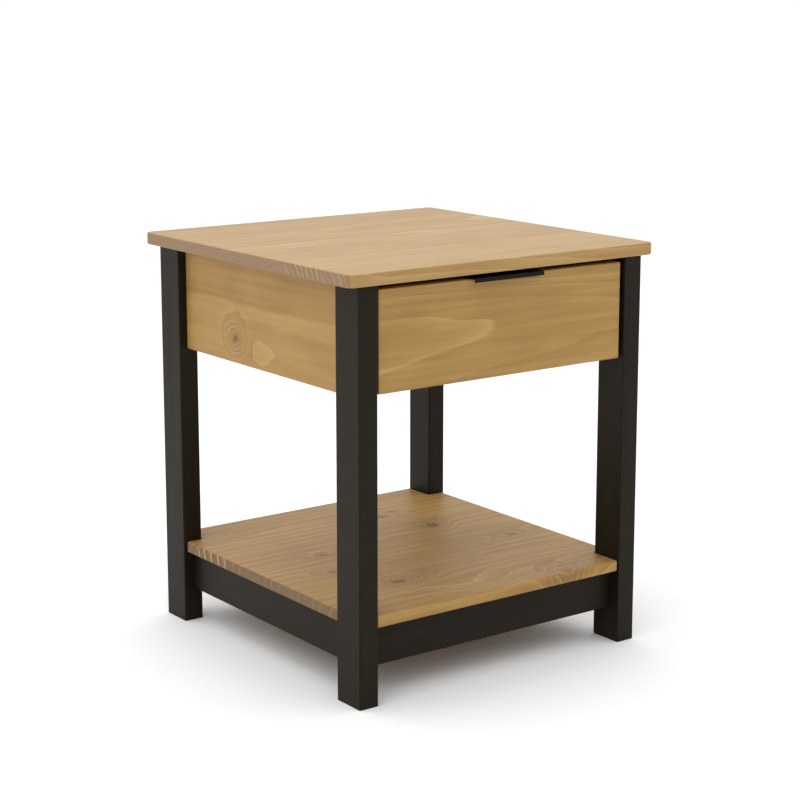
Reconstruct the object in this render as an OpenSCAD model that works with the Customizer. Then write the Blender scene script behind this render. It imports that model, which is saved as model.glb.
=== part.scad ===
// Side table with one drawer and a low shelf: pine boards on four dark painted legs.
// Millimetres. +Z is up, the drawer faces -Y, and the origin is on the floor under the middle.

/* [Overall] */
// Width over the top, left to right
table_w = 450; // [370:1:600]
// Depth over the top, front to back
table_d = 450; // [430:1:600]
// Height of the table
table_h = 500; // [400:1:700]

/* [Top] */
// Thickness of the top board
top_t = 15; // [13:0.5:25]
// Radius of the top's corners in plan
top_corner_r = 10; // [4:1:20]
// Radius of the top's eased edges
top_edge_r = 2; // [0.5:0.5:3]
// How far the top stands out past the legs at each side
side_overhang = 16; // [0:1:40]
// How far the top stands out past the front legs
front_overhang = 6; // [0:1:30]
// How far the top stands out past the back legs
back_overhang = 10; // [0:1:30]

/* [Legs] */
// Width of a leg, seen from the front
leg_w = 26; // [24:1:45]
// Depth of a leg, seen from the side
leg_d = 45; // [36:1:60]
// Radius of a leg's long edges
leg_edge_r = 1.5; // [0.5:0.5:4]

/* [Aprons] */
// Height of the boards under the top
apron_h = 129; // [115:1:160]
// Thickness of the apron boards
apron_t = 15; // [12:0.5:22]
// Radius of the eased edges of aprons, rails and the drawer front
board_edge_r = 1.5; // [0.5:0.5:3]

/* [Shelf] */
// Height of the shelf's upper face
shelf_top_h = 106; // [75:1:180]
// Thickness of the shelf
shelf_t = 14; // [12:0.5:22]
// How far the shelf's side edges stay inside the legs' outer faces
shelf_side_inset = 4; // [0:1:20]
// How far the shelf's front and back edges stay inside the legs
shelf_end_inset = 2; // [0:1:30]
// Radius of the shelf's eased edges
shelf_edge_r = 2; // [0.5:0.5:3]
// Gap between the shelf's notches and the legs
notch_gap = 0.5; // [0.2:0.1:2]
// Height of the rails under the shelf
rail_h = 50; // [40:1:70]
// Thickness of the rails under the shelf
rail_t = 12; // [11:0.5:20]

/* [Drawer] */
// Thickness of the drawer front
drawer_front_t = 16; // [14:0.5:22]
// How far the drawer front sits behind the front faces of the legs
drawer_front_recess = 4; // [0:0.5:12]
// Gap between the drawer front and each leg
drawer_side_gap = 4; // [1:0.1:6]
// Gap between the drawer front and the top
drawer_top_gap = 6; // [4:0.5:10]
// How much higher the drawer front ends than the side aprons
drawer_rise = 5; // [0:0.5:12]
// How much higher the drawer box starts than the drawer front
box_rise = 12; // [8:1:20]
// Height of the drawer box
box_h = 86; // [60:1:87]
// Length of the drawer sides
box_l = 350; // [280:1:352]
// Thickness of the drawer's sides and back
box_t = 12; // [12:0.5:16]
// Thickness of the drawer's bottom panel
bottom_t = 3; // [2:0.5:6]
// Depth of the grooves that hold the bottom panel
groove_d = 6; // [4:0.5:7]
// Height of the bottom panel above the lower edges of the drawer sides
groove_h = 12; // [11:0.5:20]
// How far the drawer pulls out
drawer_travel = 260; // [150:1:270]

/* [Handle] */
// Length of the edge pull
handle_l = 102; // [60:1:200]
// Thickness of the pull's metal
handle_t = 1.5; // [1:0.1:3]
// How far the pull stands out from the drawer front
handle_reach = 9.5; // [7:0.5:9.5]
// Height of the pull's front lip
handle_lip_h = 5; // [4:0.5:12]
// Height of the plate that is screwed behind the drawer front
handle_plate_h = 20; // [14:1:30]
// Outer radius of the pull's two bends
handle_bend_r = 2.5; // [2:0.1:4]

/* [Runners] */
// Space that a runner takes between the carcass and the drawer side
runner_gap = 12.7; // [12.2:0.1:14]
// Thickness of the runners' sheet steel
runner_t = 1.2; // [0.8:0.1:1.5]
// Height of the channel on the carcass
channel_h = 20; // [20:0.5:24]
// Diameter of the rollers
roller_d = 14; // [12:0.5:14]
// Width of the rollers
roller_w = 5.9; // [4:0.1:5.9]
// Diameter of the rollers' axles
axle_d = 5; // [3:0.5:6]
// Distance from a runner's end to its roller's axle
roller_inset = 12; // [9:1:20]

/* [Fixings] */
// Diameter of the dowels in the aprons
dowel_d = 8; // [6:1:9]
// Diameter of the dowels in the rails and the drawer
small_dowel_d = 6; // [4:1:7]
// Depth of each dowel in a leg
dowel_in_leg = 14; // [8:1:18]
// Depth of each dowel in a board's end
dowel_in_board = 16; // [10:1:25]
// Shank diameter of the wood screws
screw_d = 3.5; // [3:0.5:4]
// Head diameter of the wood screws
screw_head_d = 7; // [6:0.5:8]
// Length of the bracket and handle screws under the head
screw_l = 12; // [10:1:13]
// Leg length of the angle brackets
bracket_l = 20; // [16:1:24]
// Width of the angle brackets
bracket_w = 20; // [14:1:30]
// Thickness of the angle brackets
bracket_t = 1.5; // [1:0.1:2.5]

/* [Clearances] */
// Extra diameter of a hole around its dowel or screw
hole_gap = 0.1; // [0.02:0.02:0.4]
// Extra depth of a blind hole past its dowel or screw
end_gap = 1; // [0.5:0.5:2]
// Extra width of a groove around the bottom panel
groove_gap = 0.2; // [0.1:0.1:0.6]
// Gap between surfaces that roll or slide past each other
run_gap = 0.3; // [0.3:0.05:0.5]
// Extra diameter of a roller's bore around its axle
bore_gap = 0.16; // [0.04:0.02:0.2]

/* [Hidden] */
$fn = 48;

LEFT = -1;
RIGHT = 1;
FRONT = -1;
BACK = 1;

pine = [0.80, 0.62, 0.40];
black = [0.15, 0.14, 0.13];
beech = [0.78, 0.64, 0.48];
plywood = [0.76, 0.63, 0.46];
zinc = [0.72, 0.73, 0.74];
cream = [0.88, 0.87, 0.83];
nylon = [0.93, 0.93, 0.91];

// Legs and the faces between them
leg_x = table_w / 2 - side_overhang;
inner_x = leg_x - leg_w;
front_y = -table_d / 2 + front_overhang;
back_y = table_d / 2 - back_overhang;
front_leg_end_y = front_y + leg_d;
back_leg_end_y = back_y - leg_d;
under_top_z = table_h - top_t;

// Aprons
apron_z = under_top_z - apron_h;
apron_mid_x = inner_x + apron_t / 2;
back_apron_y = back_y - leg_w + apron_t / 2;

// Lower frame
shelf_z = shelf_top_h - shelf_t;
rail_z = shelf_z - rail_h;
rail_mid_x = inner_x + rail_t / 2;
front_rail_y = front_y + leg_d / 2;
back_rail_y = back_y - leg_d / 2;

// Drawer
drawer_y = front_y + drawer_front_recess;
box_y = drawer_y + drawer_front_t;
box_end_y = box_y + box_l;
drawer_z = apron_z + drawer_rise;
drawer_top_z = under_top_z - drawer_top_gap;
drawer_x = inner_x - drawer_side_gap;
box_x = inner_x - runner_gap;
box_in_x = box_x - box_t;
box_z = drawer_z + box_rise;
box_top_z = box_z + box_h;
bottom_z = box_z + groove_h;
panel_edge_gap = 0.5;
back_mid_y = box_end_y - box_t / 2;

// Runners: a channel on the carcass, an angle with a ledge on the drawer
channel_lip_gap = 0.5;
channel_offset = 3;
ledge_head_room = 1.6;
ledge_wall_gap = 0.8;
roller_wall_gap = 1.3;
drawer_foot = 10;
drawer_runner_start = 2;
channel_x = inner_x - runner_t;
channel_tip_x = box_x + runner_t + channel_lip_gap;
channel_y = box_y + channel_offset;
channel_l = box_l + channel_offset;
channel_z = box_z - channel_offset;
floor_z = channel_z + runner_t;
ledge_z = channel_z + channel_h - 2 * runner_t - ledge_head_room;
ledge_tip_x = channel_x - ledge_wall_gap;
drawer_web_x = box_x + runner_t;
roller_out_x = channel_x - roller_wall_gap;
roller_in_x = roller_out_x - roller_w;
front_roller_y = channel_y + roller_inset;
front_roller_z = ledge_z - run_gap - roller_d / 2;
rear_roller_y = box_end_y - roller_inset;
rear_roller_z = floor_z + run_gap + roller_d / 2;
axle_head_d = axle_d + 3;
front_head_t = 0.8;
rear_head_t = 0.6;

// Fixings
dowel_edge = 24;
drawer_dowel_edge = 16;
fixing_edge = 14;
bracket_from_leg = 54;
channel_screw_end = 56;
box_screw_end = 44;
box_screw_rise = 6;
dowel_zs = [apron_z + dowel_edge, under_top_z - dowel_edge];
rail_dowel_zs = [rail_z + rail_h / 4, rail_z + rail_h * 3 / 4];
drawer_dowel_zs = [bottom_z + fixing_edge, box_top_z - drawer_dowel_edge];
drawer_dowel_in_front = 9;
back_screw_zs = [bottom_z + bottom_t + fixing_edge, box_top_z - fixing_edge];
back_screw_l = 30;
bottom_screw_l = 14;
bottom_screw_d = 3;
bottom_screw_xs = [-box_in_x * 2 / 3, 0, box_in_x * 2 / 3];
side_fixing_ys = [front_leg_end_y + bracket_from_leg, back_leg_end_y - bracket_from_leg];
end_fixing_xs = [-inner_x * 0.6, inner_x * 0.6];
bracket_hole = bracket_l * 0.6;
head_t = 2.2;
sunk_t = (screw_head_d - screw_d) / 2;
runner_screw_l = 12;
box_screw_l = 10;
channel_screw_ys = [
    channel_y + channel_screw_end,
    channel_y + channel_l / 2,
    channel_y + channel_l - channel_screw_end
];
channel_screw_z = channel_z + channel_h / 2;
box_screw_ys = [box_y + box_screw_end, box_y + box_l / 2, box_end_y - box_screw_end];
box_screw_z = box_z + box_screw_rise;
handle_screw_xs = [-handle_l * 0.35, handle_l * 0.35];
handle_screw_z = drawer_top_z - handle_plate_h * 0.55;

// ---------- Helpers ----------

// Rectangle with round corners, its middle at the origin
module round_rect(w, h, r) {
    square([w - 2 * r, h], center = true);
    square([w, h - 2 * r], center = true);
    for (x = [r - w / 2, w / 2 - r], y = [r - h / 2, h / 2 - r])
        translate([x, y]) circle(r);
}

// Extrudes a section drawn in X and Z along Y, from y0 to y1
module along_y(y0, y1) {
    translate([0, y1, 0]) rotate([90, 0, 0]) linear_extrude(y1 - y0) children();
}

// Extrudes a section drawn in Y and Z along X, from x0 to x1
module along_x(x0, x1) {
    translate([x0, 0, 0]) rotate([90, 0, 90]) linear_extrude(x1 - x0) children();
}

// Draws for the right-hand side, or mirrored for the left
module on_side(side) {
    mirror([side == LEFT ? 1 : 0, 0, 0]) children();
}

module rod_x(x0, x1, d) {
    translate([x0, 0, 0]) rotate([0, 90, 0]) cylinder(h = x1 - x0, d = d);
}

module rod_y(y0, y1, d) {
    translate([0, y1, 0]) rotate([90, 0, 0]) cylinder(h = y1 - y0, d = d);
}

// Wood screw along -Z with its head above z = 0, or a little larger as the hole for one
module pan_screw(len, d = screw_d, extra = 0) {
    translate([0, 0, extra > 0 ? -len - end_gap : -len])
        cylinder(h = len + (extra > 0 ? end_gap + 1 : 0.5), d = d + extra);
    if (extra == 0)
        rotate_extrude()
            intersection() {
                square([screw_head_d / 2, head_t]);
                union() {
                    square([screw_head_d / 2 - 1, head_t]);
                    square([screw_head_d / 2, head_t - 1]);
                    translate([screw_head_d / 2 - 1, head_t - 1]) circle(1);
                }
            }
}

// Countersunk wood screw along -Z, its head flush with z = 0, or the hole for one
module sunk_screw(len, extra = 0) {
    grow = extra / 2;
    tip = extra > 0 ? len + end_gap : len;
    rotate_extrude()
        polygon([
            [0, 0],
            [screw_head_d / 2 + grow, 0],
            [screw_d / 2 + grow, -sunk_t],
            [screw_d / 2 + grow, -tip],
            [0, -tip]
        ]);
}

// ---------- Where the fixings go: each takes the extra diameter and depth of a hole ----------

module apron_dowel_set(extra, deep) {
    for (side = [LEFT, RIGHT], z = dowel_zs) {
        for (end = [FRONT, BACK]) {
            seam = end == FRONT ? front_leg_end_y : back_leg_end_y;
            into_leg = dowel_in_leg + deep;
            into_board = dowel_in_board + deep;
            translate([side * apron_mid_x, 0, z])
                rod_y(seam - (end == FRONT ? into_leg : into_board),
                      seam + (end == FRONT ? into_board : into_leg),
                      dowel_d + extra);
        }
        on_side(side) translate([0, back_apron_y, z])
            rod_x(inner_x - dowel_in_board - deep, inner_x + dowel_in_leg + deep, dowel_d + extra);
    }
}

module rail_dowel_set(extra, deep) {
    for (side = [LEFT, RIGHT], z = rail_dowel_zs, end = [FRONT, BACK]) {
        seam = end == FRONT ? front_leg_end_y : back_leg_end_y;
        into_leg = dowel_in_leg + deep;
        into_board = dowel_in_board + deep;
        translate([side * rail_mid_x, 0, z])
            rod_y(seam - (end == FRONT ? into_leg : into_board),
                  seam + (end == FRONT ? into_board : into_leg),
                  small_dowel_d + extra);
        on_side(side) translate([0, end == FRONT ? front_rail_y : back_rail_y, z])
            rod_x(inner_x - into_board, inner_x + into_leg, small_dowel_d + extra);
    }
}

module drawer_dowel_set(extra, deep) {
    for (side = [LEFT, RIGHT], z = drawer_dowel_zs)
        translate([side * (box_x - box_t / 2), 0, z])
            rod_y(box_y - drawer_dowel_in_front - deep, box_y + dowel_in_board + deep,
                  small_dowel_d + extra);
}

// Runs its child, drawn at the inner corner of an upright board at +Y and a panel above,
// at every bracket: side boards at inner_x, end boards at the two given Y values
module at_brackets(z, end_ys) {
    for (side = [LEFT, RIGHT], y = side_fixing_ys)
        translate([side * inner_x, y, z]) rotate([0, 0, side == LEFT ? 90 : -90]) children();
    for (i = [0 : len(end_ys) - 1], x = end_fixing_xs)
        translate([x, end_ys[i], z]) rotate([0, 0, end_ys[i] > 0 ? 0 : 180]) children();
}

module bracket_screws(extra) {
    translate([0, -bracket_hole, -bracket_t]) mirror([0, 0, 1]) pan_screw(screw_l, extra = extra);
    translate([0, -bracket_t, -bracket_hole]) rotate([90, 0, 0]) pan_screw(screw_l, extra = extra);
}

module bracket() {
    difference() {
        union() {
            translate([-bracket_w / 2, -bracket_l, -bracket_t]) cube([bracket_w, bracket_l, bracket_t]);
            translate([-bracket_w / 2, -bracket_t, -bracket_l]) cube([bracket_w, bracket_t, bracket_l]);
        }
        bracket_screws(hole_gap);
    }
}

back_apron_in_y = back_apron_y - apron_t / 2;
rail_in_ys = [front_rail_y + rail_t / 2, back_rail_y - rail_t / 2];

module top_screw_set(extra) {
    at_brackets(under_top_z, [back_apron_in_y]) bracket_screws(extra);
}

module shelf_screw_set(extra) {
    at_brackets(shelf_z, rail_in_ys) bracket_screws(extra);
}

module channel_screw_set(extra) {
    for (side = [LEFT, RIGHT], y = channel_screw_ys)
        on_side(side) translate([channel_x, y, channel_screw_z])
            rotate([0, -90, 0]) sunk_screw(runner_screw_l, extra);
}

module box_screw_set(extra) {
    for (side = [LEFT, RIGHT], y = box_screw_ys)
        on_side(side) translate([drawer_web_x, y, box_screw_z])
            rotate([0, 90, 0]) sunk_screw(box_screw_l, extra);
}

module back_screw_set(extra) {
    for (side = [LEFT, RIGHT], z = back_screw_zs)
        on_side(side) translate([box_x, back_mid_y, z])
            rotate([0, 90, 0]) sunk_screw(back_screw_l, extra);
}

module bottom_screw_set(extra) {
    for (x = bottom_screw_xs)
        translate([x, back_mid_y, bottom_z])
            mirror([0, 0, 1]) pan_screw(bottom_screw_l, bottom_screw_d, extra);
}

module handle_screw_set(extra) {
    for (x = handle_screw_xs)
        translate([x, box_y + handle_t, handle_screw_z])
            rotate([-90, 0, 0]) pan_screw(screw_l, extra = extra);
}

// ---------- Frame ----------

// Board with round corners in plan and eased edges above and below
module eased_top(w, d, t, corner, edge) {
    along_y(corner - d / 2, d / 2 - corner) translate([0, t / 2]) round_rect(w, t, edge);
    along_x(corner - w / 2, w / 2 - corner) translate([0, t / 2]) round_rect(d, t, edge);
    for (x = [corner - w / 2, w / 2 - corner], y = [corner - d / 2, d / 2 - corner])
        translate([x, y, 0])
            rotate_extrude()
                intersection() {
                    translate([0, t / 2]) round_rect(2 * corner, t, edge);
                    square([corner, t]);
                }
}

module top_panel() {
    color(pine)
        difference() {
            translate([0, 0, under_top_z])
                eased_top(table_w, table_d, top_t, top_corner_r, top_edge_r);
            top_screw_set(hole_gap);
        }
}

module leg(side, end) {
    mid_y = end == FRONT ? front_y + leg_d / 2 : back_y - leg_d / 2;
    color(black)
        difference() {
            translate([side * (leg_x - leg_w / 2), mid_y, 0])
                linear_extrude(under_top_z) round_rect(leg_w, leg_d, leg_edge_r);
            apron_dowel_set(hole_gap, end_gap);
            rail_dowel_set(hole_gap, end_gap);
            channel_screw_set(hole_gap);
        }
}

module side_apron(side) {
    color(pine)
        difference() {
            along_y(front_leg_end_y, back_leg_end_y)
                translate([side * apron_mid_x, apron_z + apron_h / 2])
                    round_rect(apron_t, apron_h, board_edge_r);
            apron_dowel_set(hole_gap, end_gap);
            top_screw_set(hole_gap);
            channel_screw_set(hole_gap);
        }
}

module back_apron() {
    color(pine)
        difference() {
            along_x(-inner_x, inner_x)
                translate([back_apron_y, apron_z + apron_h / 2])
                    round_rect(apron_t, apron_h, board_edge_r);
            apron_dowel_set(hole_gap, end_gap);
            top_screw_set(hole_gap);
        }
}

module side_rail(side) {
    color(black)
        difference() {
            along_y(front_leg_end_y, back_leg_end_y)
                translate([side * rail_mid_x, rail_z + rail_h / 2])
                    round_rect(rail_t, rail_h, board_edge_r);
            rail_dowel_set(hole_gap, end_gap);
            shelf_screw_set(hole_gap);
        }
}

module end_rail(y) {
    color(black)
        difference() {
            along_x(-inner_x, inner_x)
                translate([y, rail_z + rail_h / 2])
                    round_rect(rail_t, rail_h, board_edge_r);
            rail_dowel_set(hole_gap, end_gap);
            shelf_screw_set(hole_gap);
        }
}

// The shelf reaches between the legs on all four sides, with a notch at each leg
module shelf_panel() {
    half_w = leg_x - shelf_side_inset;
    y0 = front_y + shelf_end_inset;
    y1 = back_y - shelf_end_inset;
    color(pine)
        difference() {
            union() {
                along_y(front_leg_end_y + notch_gap, back_leg_end_y - notch_gap)
                    translate([0, shelf_z + shelf_t / 2])
                        round_rect(2 * half_w, shelf_t, shelf_edge_r);
                along_x(-inner_x + notch_gap, inner_x - notch_gap)
                    translate([(y0 + y1) / 2, shelf_z + shelf_t / 2])
                        round_rect(y1 - y0, shelf_t, shelf_edge_r);
            }
            shelf_screw_set(hole_gap);
        }
}

module apron_dowels() {
    color(beech) apron_dowel_set(0, 0);
}

module rail_dowels() {
    color(beech) rail_dowel_set(0, 0);
}

module top_brackets() {
    color(zinc) at_brackets(under_top_z, [back_apron_in_y]) bracket();
}

module top_bracket_screws() {
    color(zinc) top_screw_set(0);
}

module shelf_brackets() {
    color(zinc) at_brackets(shelf_z, rail_in_ys) bracket();
}

module shelf_bracket_screws() {
    color(zinc) shelf_screw_set(0);
}

// ---------- Runners ----------

module cabinet_runner(side) {
    color(cream)
        difference() {
            on_side(side) {
                along_y(channel_y, channel_y + channel_l)
                    difference() {
                        translate([channel_tip_x, channel_z])
                            square([inner_x - channel_tip_x, channel_h]);
                        translate([channel_tip_x - 1, channel_z + runner_t])
                            square([channel_x - channel_tip_x + 1, channel_h - 2 * runner_t]);
                    }
                translate([channel_tip_x, channel_y + channel_l - runner_t, channel_z])
                    cube([inner_x - channel_tip_x, runner_t, channel_h]);
            }
            channel_screw_set(hole_gap);
            on_side(side) translate([0, front_roller_y, front_roller_z])
                rod_x(channel_x - 1, inner_x + 1, axle_d + hole_gap);
        }
}

module drawer_runner(side) {
    color(cream)
        difference() {
            on_side(side)
                along_y(box_y + drawer_runner_start, box_end_y) {
                    translate([box_x, box_z - runner_t])
                        square([runner_t, ledge_z - box_z + 2 * runner_t]);
                    translate([drawer_web_x - drawer_foot, box_z - runner_t])
                        square([drawer_foot, runner_t]);
                    translate([box_x, ledge_z])
                        square([ledge_tip_x - box_x, runner_t]);
                }
            box_screw_set(hole_gap);
            on_side(side) translate([0, rear_roller_y, rear_roller_z])
                rod_x(box_x - 1, drawer_web_x + 1, axle_d + hole_gap);
        }
}

// Rivet that carries a carcass roller: tail in the channel, shoulder, axle and head
module front_roller_axles() {
    color(zinc)
        for (side = [LEFT, RIGHT])
            on_side(side) translate([0, front_roller_y, front_roller_z]) {
                rod_x(roller_in_x - run_gap - front_head_t, inner_x, axle_d);
                rod_x(roller_out_x + run_gap, channel_x, axle_head_d);
                rod_x(roller_in_x - run_gap - front_head_t, roller_in_x - run_gap, axle_head_d);
            }
}

// Rivet that carries a drawer roller, with its tail in the drawer runner
module rear_roller_axles() {
    color(zinc)
        for (side = [LEFT, RIGHT])
            on_side(side) translate([0, rear_roller_y, rear_roller_z]) {
                rod_x(box_x, roller_out_x + run_gap + rear_head_t, axle_d);
                rod_x(drawer_web_x, roller_in_x - run_gap, axle_head_d);
                rod_x(roller_out_x + run_gap, roller_out_x + run_gap + rear_head_t, axle_head_d);
            }
}

module roller(side, y, z) {
    color(nylon)
        on_side(side) translate([0, y, z])
            difference() {
                rod_x(roller_in_x, roller_out_x, roller_d);
                rod_x(roller_in_x - 1, roller_out_x + 1, axle_d + bore_gap);
            }
}

module cabinet_runner_screws() {
    color(zinc) channel_screw_set(0);
}

module drawer_runner_screws() {
    color(zinc) box_screw_set(0);
}

// ---------- Drawer ----------

// Space that the bottom panel's groove takes in the front and the sides
module bottom_groove() {
    translate([-box_in_x - groove_d, box_y - groove_d, bottom_z - groove_gap / 2])
        cube([2 * (box_in_x + groove_d), box_l + groove_d + 1, bottom_t + groove_gap]);
}

module drawer_front() {
    color(pine)
        difference() {
            along_x(-drawer_x, drawer_x)
                translate([drawer_y + drawer_front_t / 2, (drawer_z + drawer_top_z) / 2])
                    round_rect(drawer_front_t, drawer_top_z - drawer_z, board_edge_r);
            bottom_groove();
            drawer_dowel_set(hole_gap, end_gap);
            handle_screw_set(hole_gap);
        }
}

module drawer_side(side) {
    color(pine)
        difference() {
            on_side(side) translate([box_in_x, box_y, box_z]) cube([box_t, box_l, box_h]);
            bottom_groove();
            drawer_dowel_set(hole_gap, end_gap);
            box_screw_set(hole_gap);
            back_screw_set(hole_gap);
        }
}

module drawer_back() {
    base_z = bottom_z + bottom_t;
    color(pine)
        difference() {
            translate([-box_in_x, box_end_y - box_t, base_z])
                cube([2 * box_in_x, box_t, box_top_z - base_z]);
            back_screw_set(hole_gap);
            bottom_screw_set(hole_gap);
        }
}

module drawer_bottom() {
    half_w = box_in_x + groove_d - panel_edge_gap;
    y0 = box_y - groove_d + panel_edge_gap;
    color(plywood)
        difference() {
            translate([-half_w, y0, bottom_z]) cube([2 * half_w, box_end_y - y0, bottom_t]);
            bottom_screw_set(hole_gap);
        }
}

module drawer_dowels() {
    color(beech) drawer_dowel_set(0, 0);
}

module drawer_back_screws() {
    color(zinc) back_screw_set(0);
}

module drawer_bottom_screws() {
    color(zinc) bottom_screw_set(0);
}

// Quarter of a bend with its centre at the origin, in the quadrant that sx and sy give
module bend(sx, sy, outer, t) {
    intersection() {
        difference() {
            circle(outer);
            circle(outer - t);
        }
        translate([sx < 0 ? -outer : 0, sy < 0 ? -outer : 0]) square(outer);
    }
}

// Edge pull: a strip bent over the drawer front's upper edge, with a short lip in front
module drawer_handle() {
    lip_y = drawer_y - handle_reach;
    back_face_y = box_y + handle_t;
    cap_z = drawer_top_z + handle_t;
    inner_r = handle_bend_r - handle_t;
    color(black)
        difference() {
            along_x(-handle_l / 2, handle_l / 2) {
                translate([lip_y + handle_bend_r, drawer_top_z])
                    square([back_face_y - lip_y - 2 * handle_bend_r, handle_t]);
                translate([lip_y, cap_z - handle_lip_h])
                    square([handle_t, handle_lip_h - handle_bend_r]);
                translate([lip_y + handle_bend_r, cap_z - handle_bend_r])
                    bend(-1, 1, handle_bend_r, handle_t);
                translate([box_y, cap_z - handle_plate_h])
                    square([handle_t, handle_plate_h - handle_bend_r]);
                translate([back_face_y - handle_bend_r, cap_z - handle_bend_r])
                    bend(1, 1, handle_bend_r, handle_t);
            }
            handle_screw_set(hole_gap);
        }
}

module drawer_handle_screws() {
    color(zinc) handle_screw_set(0);
}

top_panel();
leg(LEFT, FRONT);  // leg_front_left
leg(RIGHT, FRONT);  // leg_front_right
leg(LEFT, BACK);  // leg_back_left
leg(RIGHT, BACK);  // leg_back_right
side_apron(LEFT);  // side_apron_left
side_apron(RIGHT);  // side_apron_right
back_apron();
end_rail(front_rail_y);  // shelf_rail_front
end_rail(back_rail_y);  // shelf_rail_back
side_rail(LEFT);  // shelf_rail_left
side_rail(RIGHT);  // shelf_rail_right
shelf_panel();
apron_dowels();
rail_dowels();
top_brackets();
top_bracket_screws();
shelf_brackets();
shelf_bracket_screws();
cabinet_runner(LEFT);  // cabinet_runner_left
cabinet_runner(RIGHT);  // cabinet_runner_right
cabinet_runner_screws();
front_roller_axles();
roller(LEFT, front_roller_y, front_roller_z);  // front_roller_left
roller(RIGHT, front_roller_y, front_roller_z);  // front_roller_right
drawer_front();
drawer_side(LEFT);  // drawer_side_left
drawer_side(RIGHT);  // drawer_side_right
drawer_back();
drawer_bottom();
drawer_dowels();
drawer_back_screws();
drawer_bottom_screws();
drawer_runner(LEFT);  // drawer_runner_left
drawer_runner(RIGHT);  // drawer_runner_right
drawer_runner_screws();
rear_roller_axles();
roller(LEFT, rear_roller_y, rear_roller_z);  // rear_roller_left
roller(RIGHT, rear_roller_y, rear_roller_z);  // rear_roller_right
drawer_handle();
drawer_handle_screws();
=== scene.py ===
"""Builds the looks of a side table with a drawer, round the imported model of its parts."""

import math
from collections import namedtuple

import bmesh
import bpy
from bpy.props import FloatProperty, FloatVectorProperty, IntProperty, PointerProperty
from mathutils import Matrix, Vector


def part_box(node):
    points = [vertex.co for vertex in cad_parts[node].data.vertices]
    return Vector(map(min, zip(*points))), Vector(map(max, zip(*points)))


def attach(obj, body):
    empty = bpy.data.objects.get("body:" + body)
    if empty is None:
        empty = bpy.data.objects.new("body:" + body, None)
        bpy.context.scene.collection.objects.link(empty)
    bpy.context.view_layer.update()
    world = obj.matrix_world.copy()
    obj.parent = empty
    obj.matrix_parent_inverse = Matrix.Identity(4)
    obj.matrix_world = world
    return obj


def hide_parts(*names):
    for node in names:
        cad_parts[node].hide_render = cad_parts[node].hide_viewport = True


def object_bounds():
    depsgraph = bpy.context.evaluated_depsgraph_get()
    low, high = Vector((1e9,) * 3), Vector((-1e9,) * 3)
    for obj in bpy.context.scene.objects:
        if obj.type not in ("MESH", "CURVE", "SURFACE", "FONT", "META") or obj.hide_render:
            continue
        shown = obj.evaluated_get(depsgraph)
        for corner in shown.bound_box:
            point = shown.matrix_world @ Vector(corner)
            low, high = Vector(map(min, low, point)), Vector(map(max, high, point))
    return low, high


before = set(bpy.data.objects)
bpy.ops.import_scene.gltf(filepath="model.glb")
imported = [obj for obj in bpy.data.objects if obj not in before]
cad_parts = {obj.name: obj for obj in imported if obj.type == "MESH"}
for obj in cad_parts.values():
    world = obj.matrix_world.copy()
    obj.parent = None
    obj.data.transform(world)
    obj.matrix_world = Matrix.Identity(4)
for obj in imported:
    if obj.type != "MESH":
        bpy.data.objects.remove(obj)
CAD_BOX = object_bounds()

bl_info = {
    "name": "Side Table with Drawer",
    "version": (1, 0, 0),
    "blender": (4, 5, 0),
    "location": "3D View > Sidebar > Side Table",
    "description": "Builds a pine side table with a black painted frame, a shelf and a drawer",
    "category": "Object",
}

MM = 0.001
SIDES = (("left", -1), ("right", 1))
DISTANCE = {"subtype": "DISTANCE", "unit": "LENGTH"}


def number(name, value, description, low=0.0, **settings):
    """A number that a user can change, with settings such as its unit or its highest value."""
    return FloatProperty(name=name, description=description, default=value, min=low, **settings)


def size(name, millimetres, description):
    """A length that a user can change, given in millimetres and kept in metres."""
    return number(name, millimetres * MM, description, precision=5, **DISTANCE)


def share(name, value, description):
    """A number from 0 to 1 that a user can change."""
    return number(name, value, description, max=1.0, subtype="FACTOR")


def angle(name, degrees, description):
    """An angle that a user can change, given in degrees and kept in radians."""
    value = math.radians(degrees)
    return number(name, value, description, -math.pi, subtype="ANGLE", unit="ROTATION")


def spot(name, place, description):
    """A place in the room that a user can change, in metres."""
    return FloatVectorProperty(
        name=name, description=description, default=place, subtype="TRANSLATION", unit="LENGTH"
    )


def whole(name, value, low, high, description):
    """A whole number that a user can change."""
    return IntProperty(name=name, description=description, default=value, min=low, max=high)


def colour(name, red, green, blue, description):
    """A colour that a user can change."""
    return FloatVectorProperty(
        name=name,
        description=description,
        default=(red, green, blue),
        min=0.0,
        max=1.0,
        subtype="COLOR",
    )


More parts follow.
